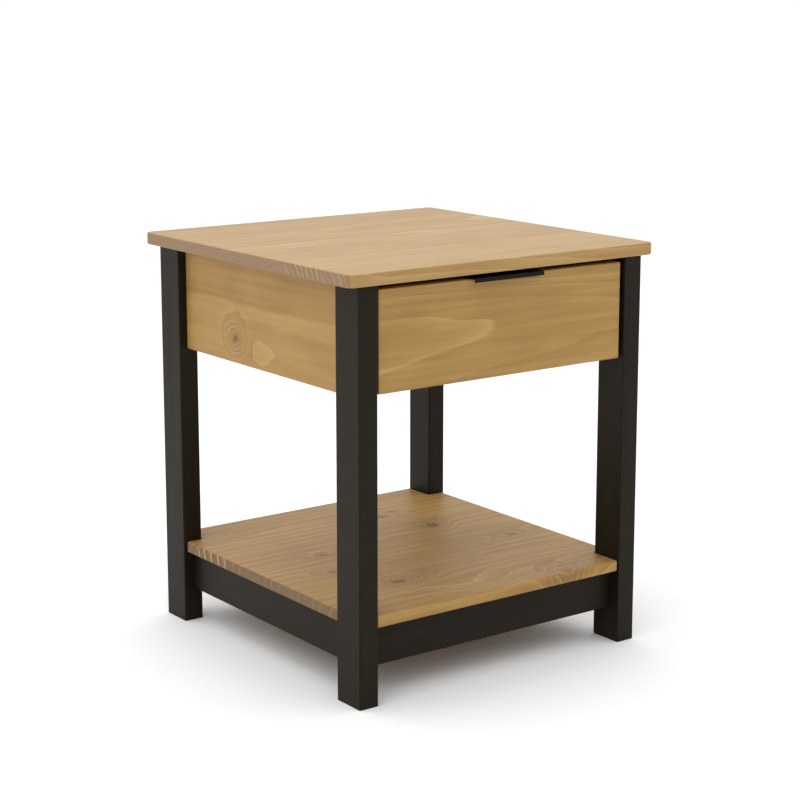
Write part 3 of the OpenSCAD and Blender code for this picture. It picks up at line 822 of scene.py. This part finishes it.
def bent_sheet(bm, path, cuts, holes, place):
    """A sheet bent along a path and as long as its cuts, with round holes on some of the cuts.

    A hole is (number of the flat, number of the cut, distance along the flat, radius).
    """
    grid = [[bm.verts.new(place(cut, *point)) for cut in cuts] for point in path]
    rims = {}
    for flat, cut, distance, radius in holes:
        row = flat * (BEND_STEPS + 1)
        direction = (path[row + 1] - path[row]).normalized()
        rim = []
        for step in range(HOLE_STEPS):
            angle = 2 * math.pi * step / HOLE_STEPS
            point = path[row] + direction * (distance - radius * math.cos(angle))
            rim.append(bm.verts.new(place(cuts[cut] + radius * math.sin(angle), *point)))
        rims[row, cut] = rim
    half = HOLE_STEPS // 2
    for row in range(len(path) - 1):
        for cut in range(len(cuts) - 1):
            loop = [grid[row][cut], grid[row][cut + 1]]
            if (row, cut + 1) in rims:
                rim = rims[row, cut + 1]
                loop += [rim[-step % HOLE_STEPS] for step in range(half + 1)]
            loop += [grid[row + 1][cut + 1], grid[row + 1][cut]]
            if (row, cut) in rims:
                loop += reversed(rims[row, cut][: half + 1])
            bm.faces.new(loop)


def lathe(profile, place, steps):
    """A ring turned from a closed profile of (along, radius) points round an axis."""
    bm = bmesh.new()
    turns = [2 * math.pi * step / steps for step in range(steps)]
    rings = []
    for along, radius in profile:
        points = [place(along, radius * math.cos(turn), radius * math.sin(turn)) for turn in turns]
        rings.append([bm.verts.new(point) for point in points])
    join_rings(bm, rings, closed=True)
    return bm


def join_rings(bm, rings, closed=False):
    """Faces between each ring and the next."""
    following = rings[1:] + rings[:1] if closed else rings[1:]
    for ring, after in zip(rings, following):
        steps = len(ring)
        for step in range(steps):
            beside = (step + 1) % steps
            corners = [ring[step], ring[beside], after[beside], after[step]]
            bm.faces.new(list(dict.fromkeys(corners)))


def extent(points):
    """The lowest and the highest corner of the box round some points."""
    axes = list(zip(*points))
    return Vector([min(axis) for axis in axes]), Vector([max(axis) for axis in axes])


def solids_of(node):
    """The separate solids of a CAD node, each as a list of its points."""
    bm = bmesh.new()
    bm.from_mesh(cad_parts[node].data)
    bmesh.ops.remove_doubles(bm, verts=bm.verts, dist=SAME_POINT)
    solids = []
    seen = set()
    for start in bm.verts:
        if start in seen:
            continue
        seen.add(start)
        todo, points = [start], []
        while todo:
            vertex = todo.pop()
            points.append(vertex.co.copy())
            for edge in vertex.link_edges:
                other = edge.other_vert(vertex)
                if other not in seen:
                    seen.add(other)
                    todo.append(other)
        solids.append(points)
    bm.free()
    return solids


# Fastener: the middle of its head's outer face, the direction its head points in, and its sizes
Fastener = namedtuple("Fastener", "top outward length shank head")


def fasteners(node):
    """Where each screw of a CAD node is, which way it points and how big it is."""
    found = []
    for points in solids_of(node):
        low, high = extent(points)
        middle, spread = (low + high) / 2, high - low
        along = max(range(3), key=lambda axis: spread[axis])
        others = [axis for axis in range(3) if axis != along]

        def reach(point):
            return math.hypot(*(point[axis] - middle[axis] for axis in others))

        head = max(reach(point) for point in points)
        wide = [point[along] for point in points if reach(point) > 0.9 * head]
        outward = Vector()
        outward[along] = 1.0 if sum(wide) / len(wide) > middle[along] else -1.0
        top = middle + outward * spread[along] / 2
        tip = middle - outward * spread[along] / 2
        shank = max(reach(point) for point in points if abs(point[along] - tip[along]) < SAME_HEIGHT)
        found.append(Fastener(top, outward, spread[along], 2 * shank, 2 * head))
    return found


# Outlines of screw heads: radius as a share of the head's, and depth below its top. A round head's
# depths are shares of its height, and a sunk head's are lengths.
ROUND_HEAD = [(0.66, 0.0), (0.82, 0.07), (0.93, 0.2), (0.99, 0.42), (1.0, 0.6), (1.0, 0.97), (0.97, 1.0)]
SUNK_HEAD = [(0.96, 0.0), (1.0, 0.2 * MM), (0.93, 0.6 * MM)]

# The cross recess: its reach and half width as shares of the head's radius, its floor's size as a
# share of its own, and its depth as a share of a round head's height
CROSS_REACH, CROSS_HALF, CROSS_FLOOR = 0.52, 0.13, 0.7
ROUND_CROSS_DEPTH = 0.75
SUNK_CROSS_DEPTH = 0.75 * 0.7

# The thread: the core's radius as a share of the shank's width and at the tip as a share of its own,
# how many rings of points each turn has, and over how many turns it thins out to the tip
CORE_SHARE, TIP_CORE = 0.33, 0.25
RINGS_A_TURN, TIP_TURNS = 6, 3


def screw(bm, fastener, sunk):
    """A wood screw with a cross recess and a spiral thread, its head round or sunk."""
    sizes = BUILD.sizes
    steps = sizes.screw_steps
    turn = fastener.outward.to_track_quat("Z", "X").to_matrix().to_4x4()
    where = Matrix.Translation(fastener.top) @ turn

    def point(x, y, z):
        return bm.verts.new(where @ Vector((x, y, z)))

    def ring(radius, z, lift=None):
        made = []
        for step in range(steps):
            angle = 2 * math.pi * step / steps
            out = radius + (lift(angle) if lift else 0.0)
            made.append(point(out * math.cos(angle), out * math.sin(angle), z))
        return made

    head, shank = fastener.head / 2, fastener.shank / 2
    height = head - shank if sunk else sizes.head_height
    if sunk:
        rings = [ring(head * share_out, -depth) for share_out, depth in SUNK_HEAD]
    else:
        rings = [ring(head * share_out, -depth * height) for share_out, depth in ROUND_HEAD]
    cross_depth = sizes.head_height * (SUNK_CROSS_DEPTH if sunk else ROUND_CROSS_DEPTH)
    cross_recess(bm, rings[0], head, cross_depth, point)
    core, pitch, tip = fastener.shank * CORE_SHARE, sizes.thread_pitch, -fastener.length
    crest = shank - core
    turns = int((-height - tip) / pitch * RINGS_A_TURN)
    rings.append(ring(core, -height))
    for number in range(1, turns):
        z = -height + (tip + height) * number / turns
        thin = min(1.0, (z - tip) / (TIP_TURNS * pitch))

        def lift(angle):
            """How far the thread stands out: a crest half a pitch wide that climbs as it turns."""
            phase = (z / pitch - angle / (2 * math.pi)) % 1.0
            return crest * thin * max(0.0, 1 - abs(phase - 0.5) * 4)

        rings.append(ring(core * (TIP_CORE + (1 - TIP_CORE) * thin), z, lift))
    rings.append([point(0, 0, tip)] * steps)
    join_rings(bm, rings)


def cross_recess(bm, rim, head, depth, point):
    """The flat of a screw's head inside its rim, with a cross sunk into it."""
    arm, half = head * CROSS_REACH, head * CROSS_HALF
    one_arm = [(arm, -half), (arm, half), (half, half)]
    spots = []
    for _ in range(4):
        spots += one_arm
        one_arm = [(-y, x) for x, y in one_arm]
    cross = [point(x, y, 0.0) for x, y in spots]
    halfway = len(rim) // 2
    bm.faces.new(rim[: halfway + 1] + [cross[number] for number in (6, 5, 4, 3, 2, 1)])
    bm.faces.new(rim[halfway:] + [rim[0]] + [cross[number] for number in (1, 0, 11, 10, 9, 8, 7, 6)])
    floor = [point(x * CROSS_FLOOR, y * CROSS_FLOOR, -depth) for x, y in spots]
    join_rings(bm, [cross, floor])
    bm.faces.new(floor)


def make_screws(node, body, sunk=False):
    """All the screws of a CAD node as one piece."""
    bm = bmesh.new()
    for fastener in fasteners(node):
        screw(bm, fastener, sunk)
    finish = BUILD.finish("zinc_plate", zinc_plate)
    finish_piece(bm, f"{node}_zinc", body, finish, [node], flat_faces=False)


def bracket(bm, points, screws):
    """An angle bracket where a CAD one is, with a hole for each of its two screws."""
    sizes = BUILD.sizes
    inset = sizes.bracket_metal / 2
    bend = sizes.bracket_bend - inset
    low, high = extent(points)
    middle, spread = (low + high) / 2, high - low

    def nearest(is_upright):
        chosen = [fastener for fastener in screws if bool(fastener.outward.z) == is_upright]
        return min(chosen, key=lambda fastener: (fastener.top - middle).length)

    up_screw, side_screw = nearest(True), nearest(False)
    outward = side_screw.outward
    beside = Vector((0, 0, 1)).cross(outward)
    reach, wide = abs(spread.dot(outward)), abs(spread.dot(beside))
    corner = Vector((middle.x, middle.y, high.z)) - outward * reach / 2

    def place(across, out, down):
        return corner + beside * across + outward * out - Vector((0, 0, down))

    path = bent_path([(reach, inset), (inset, inset), (inset, spread.z)], bend)
    along_top = reach - (up_screw.top - corner).dot(outward)
    along_side = corner.z - side_screw.top.z - inset - bend
    holes = [(0, 1, along_top, sizes.screw_hole), (1, 1, along_side, sizes.screw_hole)]
    bent_sheet(bm, path, [-wide / 2, 0, wide / 2], holes, place)


def runner(node, sign, corners, screws):
    """A runner's sheet, bent along (x, z) corners, with a hole round the head of each screw."""
    sizes = BUILD.sizes
    low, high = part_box(node)
    bend = sizes.runner_bend - sizes.runner_metal / 2
    here = [fastener for fastener in screws if fastener.top.x * sign > 0]
    here.sort(key=lambda fastener: fastener.top.y)
    cuts = [low.y] + [fastener.top.y for fastener in here] + [high.y]
    web_start = corners[1][1] + bend
    holes = []
    for number, fastener in enumerate(here):
        holes.append((1, number + 1, abs(fastener.top.z - web_start), fastener.head / 2))
    bm = bmesh.new()
    bent_sheet(bm, bent_path(corners, bend), cuts, holes, lambda y, x, z: Vector((sign * x, y, z)))
    return bm


def refinish(nodes, material):
    """Gives CAD nodes that stay as they are a finish of their own."""
    for name in nodes:
        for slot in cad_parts[name].material_slots:
            slot.material = material


def soft_lamp(name, place, aim, power, side):
    """A large square lamp that points at a place."""
    data = bpy.data.lights.new(name, "AREA")
    data.energy = power
    data.size = side
    lamp = bpy.data.objects.new(name, data)
    bpy.context.scene.collection.objects.link(lamp)
    lamp.location = place
    lamp.rotation_euler = (Vector(aim) - Vector(place)).to_track_quat("-Z", "Y").to_euler()


def light_room(stage):
    """A white room, bright above and behind, that always looks white itself."""
    world = bpy.data.worlds.new("white_room")
    world.use_nodes = True
    nodes, links = world.node_tree.nodes, world.node_tree.links
    parts = nodes.new("ShaderNodeSeparateXYZ")
    links.new(nodes.new("ShaderNodeTexCoord").outputs["Generated"], parts.inputs[0])

    def fade(axis, low, high, dim, bright):
        """A level from dim to bright as a direction's share along an axis goes from low to high."""
        level = nodes.new("ShaderNodeMapRange")
        level.interpolation_type = "SMOOTHSTEP"
        links.new(parts.outputs[axis], level.inputs["Value"])
        for name, number in zip(("From Min", "From Max", "To Min", "To Max"), (low, high, dim, bright)):
            level.inputs[name].default_value = number
        return level.outputs[0]

    blend = nodes.new("ShaderNodeMix")
    links.new(fade("Z", 0.1, 0.7, 0.0, 1.0), blend.inputs[0])
    links.new(fade("Y", -0.7, 0.5, stage.front_light, stage.back_light), blend.inputs[2])
    blend.inputs[3].default_value = stage.ceiling_light
    seen = nodes.new("ShaderNodeMath")
    seen.operation = "MAXIMUM"
    links.new(blend.outputs[0], seen.inputs[0])
    links.new(nodes.new("ShaderNodeLightPath").outputs["Is Camera Ray"], seen.inputs[1])
    sky = nodes["Background"].inputs
    sky["Color"].default_value = (1.0, 1.0, 1.0, 1.0)
    links.new(seen.outputs[0], sky["Strength"])
    bpy.context.scene.world = world


def lay_floor(stage):
    """A large pale floor under the table."""
    half = stage.floor_side / 2
    bm = bmesh.new()
    bm.faces.new([bm.verts.new((x, y, 0.0)) for x, y in rectangle(-half, -half, half, half)])
    mesh = bpy.data.meshes.new("studio_floor")
    bm.to_mesh(mesh)
    bm.free()
    floor = bpy.data.objects.new("studio_floor", mesh)
    bpy.context.scene.collection.objects.link(floor)
    finish = Finish("studio_floor")
    cloud = finish.pattern((0.004,) * 3)
    finish.colour(finish.ramp(cloud, [(0.3, times(stage.floor, 0.99)), (0.7, stage.floor)]))
    finish.plain("Roughness", 0.9)
    finish.plain("Specular IOR Level", 0.0)
    mesh.materials.append(finish.material)


def place_camera(stage):
    """The camera that sees the table from its front left."""
    data = bpy.data.cameras.new("table_camera")
    data.lens = stage.camera_lens
    data.shift_y = -stage.camera_shift
    camera = bpy.data.objects.new("table_camera", data)
    bpy.context.scene.collection.objects.link(camera)
    camera.location = stage.camera_place
    camera.rotation_euler = (math.pi / 2 - stage.camera_dip, 0.0, -stage.camera_turn)
    bpy.context.scene.camera = camera


# ---------- Operators, one for each piece or group of like pieces ----------


class SIDE_TABLE_OT_top(bpy.types.Operator):
    """The table top: round corners and rounded edges."""

    bl_idname = "side_table.top"
    bl_label = "Table Top"

    def execute(self, context):
        sizes = BUILD.sizes
        low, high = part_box("top_panel")
        outline = round_corners(rectangle(low.x, low.y, high.x, high.y), sizes.top_corner)
        bm = prism(outline, low.z, high.z, "Z")
        ease(bm, sizes.top_edge)
        finish = BUILD.finish("top_pine", stained_pine)
        finish_piece(bm, "table_top_board", "table", finish, ["top_panel"])
        return {"FINISHED"}


class SIDE_TABLE_OT_legs(bpy.types.Operator):
    """Four painted legs, narrow at the front and deep at the side."""

    bl_idname = "side_table.legs"
    bl_label = "Legs"

    def execute(self, context):
        sizes = BUILD.sizes
        finish = BUILD.finish("black_paint_upright", black_paint, "Z")
        for node in ("leg_front_left", "leg_front_right", "leg_back_left", "leg_back_right"):
            bm = board(node, "Z", sizes.board_edge, sizes.leg_end)
            finish_piece(bm, node + "_post", "table", finish, [node])
        return {"FINISHED"}


class SIDE_TABLE_OT_aprons(bpy.types.Operator):
    """The pine aprons at the two sides and the back."""

    bl_idname = "side_table.aprons"
    bl_label = "Aprons"

    def execute(self, context):
        sizes = BUILD.sizes
        for side, axis in (("left", "Y"), ("right", "Y"), ("back", "X")):
            node = "back_apron" if side == "back" else f"side_apron_{side}"
            finish = BUILD.finish(f"{side}_apron_pine", stained_pine)
            bm = board(node, axis, sizes.board_edge, sizes.board_end)
            finish_piece(bm, f"{side}_apron_board", "table", finish, [node])
        return {"FINISHED"}


class SIDE_TABLE_OT_rails(bpy.types.Operator):
    """The painted rails under the shelf."""

    bl_idname = "side_table.rails"
    bl_label = "Shelf Rails"

    def execute(self, context):
        sizes = BUILD.sizes
        for side, axis in (("front", "X"), ("back", "X"), ("left", "Y"), ("right", "Y")):
            node = f"shelf_rail_{side}"
            finish = BUILD.finish(f"black_paint_{axis}", black_paint, axis)
            bm = board(node, axis, sizes.board_edge, sizes.board_end)
            finish_piece(bm, f"{side}_rail_board", "table", finish, [node])
        return {"FINISHED"}


class SIDE_TABLE_OT_shelf(bpy.types.Operator):
    """The shelf, notched round each leg."""

    bl_idname = "side_table.shelf"
    bl_label = "Shelf"

    def execute(self, context):
        sizes = BUILD.sizes
        low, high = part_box("shelf_panel")
        front_leg, back_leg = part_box("leg_front_right"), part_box("leg_back_right")
        notch_x = front_leg[0].x - sizes.notch_gap
        front_y = front_leg[1].y + sizes.notch_gap
        back_y = back_leg[0].y - sizes.notch_gap
        outline = [
            (-notch_x, low.y), (notch_x, low.y), (notch_x, front_y), (high.x, front_y),
            (high.x, back_y), (notch_x, back_y), (notch_x, high.y), (-notch_x, high.y),
            (-notch_x, back_y), (low.x, back_y), (low.x, front_y), (-notch_x, front_y),
        ]
        bm = prism(outline, low.z, high.z, "Z")
        ease(bm, sizes.shelf_edge)
        finish = BUILD.finish("shelf_pine", stained_pine)
        finish_piece(bm, "shelf_board", "table", finish, ["shelf_panel"])
        return {"FINISHED"}


class SIDE_TABLE_OT_hidden_joints(bpy.types.Operator):
    """Dowels and roller axles, which keep their CAD shape."""

    bl_idname = "side_table.hidden_joints"
    bl_label = "Hidden Joints"

    def execute(self, context):
        refinish(("apron_dowels", "rail_dowels", "drawer_dowels"), BUILD.finish("beech", turned_beech))
        axles = ("front_roller_axles", "rear_roller_axles")
        refinish(axles, BUILD.finish("zinc_plate", zinc_plate))
        return {"FINISHED"}


class SIDE_TABLE_OT_brackets(bpy.types.Operator):
    """Angle brackets under the top and under the shelf, each with two holes."""

    bl_idname = "side_table.brackets"
    bl_label = "Brackets"

    def execute(self, context):
        metal = BUILD.sizes.bracket_metal
        finish = BUILD.finish("zinc_plate", zinc_plate)
        for set_name in ("top_brackets", "shelf_brackets"):
            screws = fasteners(set_name.replace("brackets", "bracket_screws"))
            bm = bmesh.new()
            for points in solids_of(set_name):
                bracket(bm, points, screws)
            finish_piece(bm, set_name + "_steel", "table", finish, [set_name], metal)
        return {"FINISHED"}


class SIDE_TABLE_OT_bracket_screws(bpy.types.Operator):
    """The screws of the angle brackets."""

    bl_idname = "side_table.bracket_screws"
    bl_label = "Bracket Screws"

    def execute(self, context):
        for set_name in ("top_bracket_screws", "shelf_bracket_screws"):
            make_screws(set_name, "table")
        return {"FINISHED"}


class SIDE_TABLE_OT_drawer_front(bpy.types.Operator):
    """The drawer front, grooved behind for the bottom."""

    bl_idname = "side_table.drawer_front"
    bl_label = "Drawer Front"

    def execute(self, context):
        sizes = BUILD.sizes
        low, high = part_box("drawer_front")
        bottom_low, bottom_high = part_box("drawer_bottom")
        gap = sizes.groove_gap
        groove_y = bottom_low.y - gap
        outline = [
            (low.y, low.z), (high.y, low.z), (high.y, bottom_low.z - gap),
            (groove_y, bottom_low.z - gap), (groove_y, bottom_high.z + gap),
            (high.y, bottom_high.z + gap), (high.y, high.z), (low.y, high.z),
        ]
        bm = prism(outline, low.x, high.x, "X")

        def is_outer(edge):
            lowest, highest = bottom_low.z - 2 * gap, bottom_high.z + 2 * gap
            return not any(lowest < vertex.co.z < highest for vertex in edge.verts)

        ease(bm, sizes.board_edge, is_outer)
        finish = BUILD.finish("drawer_front_pine", stained_pine)
        finish_piece(bm, "drawer_front_board", "drawer", finish, ["drawer_front"])
        return {"FINISHED"}


class SIDE_TABLE_OT_drawer_box(bpy.types.Operator):
    """The drawer's sides, grooved for the bottom, and its back."""

    bl_idname = "side_table.drawer_box"
    bl_label = "Drawer Box"

    def execute(self, context):
        sizes = BUILD.sizes
        bottom_low, bottom_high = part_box("drawer_bottom")
        gap = sizes.groove_gap
        under, over = bottom_low.z - gap, bottom_high.z + gap
        for side, sign in SIDES:
            node = f"drawer_side_{side}"
            low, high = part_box(node)
            inner, outer = (low.x, high.x) if sign > 0 else (high.x, low.x)
            groove = sign * (abs(bottom_high.x) + gap)
            outline = [
                (inner, low.z), (outer, low.z), (outer, high.z), (inner, high.z),
                (inner, over), (groove, over), (groove, under), (inner, under),
            ]
            bm = prism(outline, low.y, high.y, "Y")
            ease(bm, sizes.drawer_edge, lambda edge: min(v.co.z for v in edge.verts) > over + gap)
            finish = BUILD.finish("drawer_side_pine", drawer_pine, "Y", "X")
            finish_piece(bm, f"drawer_{side}_side_board", "drawer", finish, [node])
        bm = board("drawer_back", "X", sizes.drawer_edge)
        finish = BUILD.finish("drawer_back_pine", drawer_pine, "X", "Y")
        finish_piece(bm, "drawer_back_board", "drawer", finish, ["drawer_back"])
        return {"FINISHED"}


class SIDE_TABLE_OT_drawer_bottom(bpy.types.Operator):
    """The drawer's thin bottom panel."""

    bl_idname = "side_table.drawer_bottom"
    bl_label = "Drawer Bottom"

    def execute(self, context):
        bm = board("drawer_bottom", "Z", BUILD.sizes.panel_corner, BUILD.sizes.panel_edge)
        finish = BUILD.finish("thin_plywood", thin_plywood)
        finish_piece(bm, "drawer_bottom_panel", "drawer", finish, ["drawer_bottom"])
        return {"FINISHED"}


class SIDE_TABLE_OT_handle(bpy.types.Operator):
    """The handle: a black metal strip bent over the drawer front's upper edge."""

    bl_idname = "side_table.handle"
    bl_label = "Handle"

    def execute(self, context):
        sizes = BUILD.sizes
        low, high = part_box("drawer_handle")
        screws = sorted(fasteners("drawer_handle_screws"), key=lambda fastener: fastener.top.x)
        inset = sizes.handle_metal / 2
        front, back, top = low.y + inset, high.y - inset, high.z - inset
        corners = [(front, high.z - sizes.handle_lip), (front, top), (back, top), (back, low.z)]
        bend = sizes.handle_bend - inset
        path = bent_path(corners, bend)
        cuts = [low.x] + [fastener.top.x for fastener in screws] + [high.x]
        from_bend = top - bend - screws[0].top.z
        holes = [(2, number + 1, from_bend, sizes.screw_hole) for number in range(len(screws))]
        bm = bmesh.new()
        bent_sheet(bm, path, cuts, holes, lambda x, y, z: Vector((x, y, z)))
        finish = BUILD.finish("black_metal", black_metal)
        nodes = ["drawer_handle"]
        finish_piece(bm, "edge_handle", "drawer", finish, nodes, sizes.handle_metal)
        return {"FINISHED"}


class SIDE_TABLE_OT_runners(bpy.types.Operator):
    """The roller runners: a channel on the carcass and an angle on the drawer, at each side."""

    bl_idname = "side_table.runners"
    bl_label = "Runners"

    def execute(self, context):
        metal = BUILD.sizes.runner_metal
        inset = metal / 2
        finish = BUILD.finish("runner_enamel", runner_enamel)
        channel_screws = fasteners("cabinet_runner_screws")
        drawer_screws = fasteners("drawer_runner_screws")
        for side, sign in SIDES:
            node = f"cabinet_runner_{side}"
            low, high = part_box(node)
            tip, back = sorted((abs(low.x), abs(high.x)))
            outer, bottom, top = back - inset, low.z + inset, high.z - inset
            corners = [(tip, bottom), (outer, bottom), (outer, top), (tip, top)]
            bm = runner(node, sign, corners, channel_screws)
            plate = rectangle(tip, bottom + inset, outer - inset, top - inset)
            bm.faces.new([bm.verts.new((sign * x, high.y - inset, z)) for x, z in plate])
            finish_piece(bm, f"{node}_channel", "table", finish, [node], metal)

            node = f"drawer_runner_{side}"
            low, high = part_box(node)
            foot, ledge = sorted((abs(low.x), abs(high.x)))
            web = abs(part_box(f"drawer_side_{side}")[0 if sign < 0 else 1].x) + inset
            bottom, top = low.z + inset, high.z - inset
            corners = [(foot, bottom), (web, bottom), (web, top), (ledge, top)]
            bm = runner(node, sign, corners, drawer_screws)
            finish_piece(bm, f"{node}_angle", "drawer", finish, [node], metal)
        return {"FINISHED"}


class SIDE_TABLE_OT_rollers(bpy.types.Operator):
    """The nylon rollers, each with a raised hub and rim."""

    bl_idname = "side_table.rollers"
    bl_label = "Rollers"

    def execute(self, context):
        sizes = BUILD.sizes
        dish, lip, axle = sizes.roller_dish, sizes.roller_lip, sizes.axle_bore
        finish = BUILD.finish("moulded_nylon", moulded_nylon)
        for end in ("front", "rear"):
            for side, _ in SIDES:
                node = f"{end}_roller_{side}"
                low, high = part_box(node)
                middle, radius = (low + high) / 2, (high.z - low.z) / 2
                hub, rim = radius * sizes.roller_hub, radius * sizes.roller_rim
                half = [
                    (low.x, axle), (low.x, hub), (low.x + dish, hub + lip / 2),
                    (low.x + dish, rim - lip / 2), (low.x, rim), (low.x, radius - lip),
                    (low.x + lip * 0.3, radius - lip * 0.3), (low.x + lip, radius),
                ]
                mirrored = [(low.x + high.x - x, out) for x, out in reversed(half)]

                def place(along, out, up):
                    return Vector((along, middle.y + out, middle.z + up))

                bm = lathe(half + mirrored, place, sizes.curve_steps)
                body = f"{end}_roller_{side[0]}"
                piece = finish_piece(bm, f"{node}_wheel", body, finish, [node])
                piece.data.set_sharp_from_angle(angle=ROLLER_SHARP_ANGLE)
        return {"FINISHED"}


class SIDE_TABLE_OT_runner_screws(bpy.types.Operator):
    """The sunk screws of the runners and of the drawer's back."""

    bl_idname = "side_table.runner_screws"
    bl_label = "Sunk Screws"

    def execute(self, context):
        make_screws("cabinet_runner_screws", "table", sunk=True)
        make_screws("drawer_runner_screws", "drawer", sunk=True)
        make_screws("drawer_back_screws", "drawer", sunk=True)
        return {"FINISHED"}


class SIDE_TABLE_OT_drawer_screws(bpy.types.Operator):
    """The round-headed screws of the drawer's bottom and of the handle."""

    bl_idname = "side_table.drawer_screws"
    bl_label = "Drawer Screws"

    def execute(self, context):
        make_screws("drawer_bottom_screws", "drawer")
        make_screws("drawer_handle_screws", "drawer")
        return {"FINISHED"}


class SIDE_TABLE_OT_stage(bpy.types.Operator):
    """A pale floor, a white room, soft lamps and the camera."""

    bl_idname = "side_table.stage"
    bl_label = "Stage"

    def execute(self, context):
        stage = BUILD.stage
        lay_floor(stage)
        light_room(stage)
        aim = (0.0, 0.0, CAD_BOX[1][2] * stage.lamp_aim)
        soft_lamp("key_lamp", stage.key_place, aim, stage.key_power, stage.key_side)
        soft_lamp("top_lamp", stage.top_place, aim, stage.top_power, stage.top_side)
        place_camera(stage)
        bpy.context.scene.view_settings.view_transform = "Standard"
        return {"FINISHED"}


# In the order they are run
OPERATORS = [
    SIDE_TABLE_OT_stage,
    SIDE_TABLE_OT_top,
    SIDE_TABLE_OT_legs,
    SIDE_TABLE_OT_aprons,
    SIDE_TABLE_OT_rails,
    SIDE_TABLE_OT_shelf,
    SIDE_TABLE_OT_hidden_joints,
    SIDE_TABLE_OT_brackets,
    SIDE_TABLE_OT_bracket_screws,
    SIDE_TABLE_OT_drawer_front,
    SIDE_TABLE_OT_drawer_box,
    SIDE_TABLE_OT_drawer_bottom,
    SIDE_TABLE_OT_handle,
    SIDE_TABLE_OT_runners,
    SIDE_TABLE_OT_rollers,
    SIDE_TABLE_OT_runner_screws,
    SIDE_TABLE_OT_drawer_screws,
]


class SIDE_TABLE_PT_build(bpy.types.Panel):
    """Lists the table's pieces in the sidebar."""

    bl_label = "Side Table"
    bl_idname = "SIDE_TABLE_PT_build"
    bl_space_type = "VIEW_3D"
    bl_region_type = "UI"
    bl_category = "Side Table"

    def draw(self, context):
        for operator in OPERATORS:
            self.layout.operator(operator.bl_idname)


CLASSES = [TableSizes, TableFinishes, StageSettings, *OPERATORS, SIDE_TABLE_PT_build]


def register():
    """Adds the settings, the operators and the panel to Blender."""
    for made in CLASSES:
        bpy.utils.register_class(made)
    bpy.types.Scene.table_sizes = PointerProperty(type=TableSizes)
    bpy.types.Scene.table_finishes = PointerProperty(type=TableFinishes)
    bpy.types.Scene.table_stage = PointerProperty(type=StageSettings)


def unregister():
    """Takes them out of Blender again."""
    del bpy.types.Scene.table_stage
    del bpy.types.Scene.table_finishes
    del bpy.types.Scene.table_sizes
    for made in reversed(CLASSES):
        bpy.utils.unregister_class(made)


def main():
    register()
    for operator in OPERATORS:
        name = operator.bl_idname.split(".")[1]
        getattr(bpy.ops.side_table, name)()


if __name__ == "__main__":
    main()
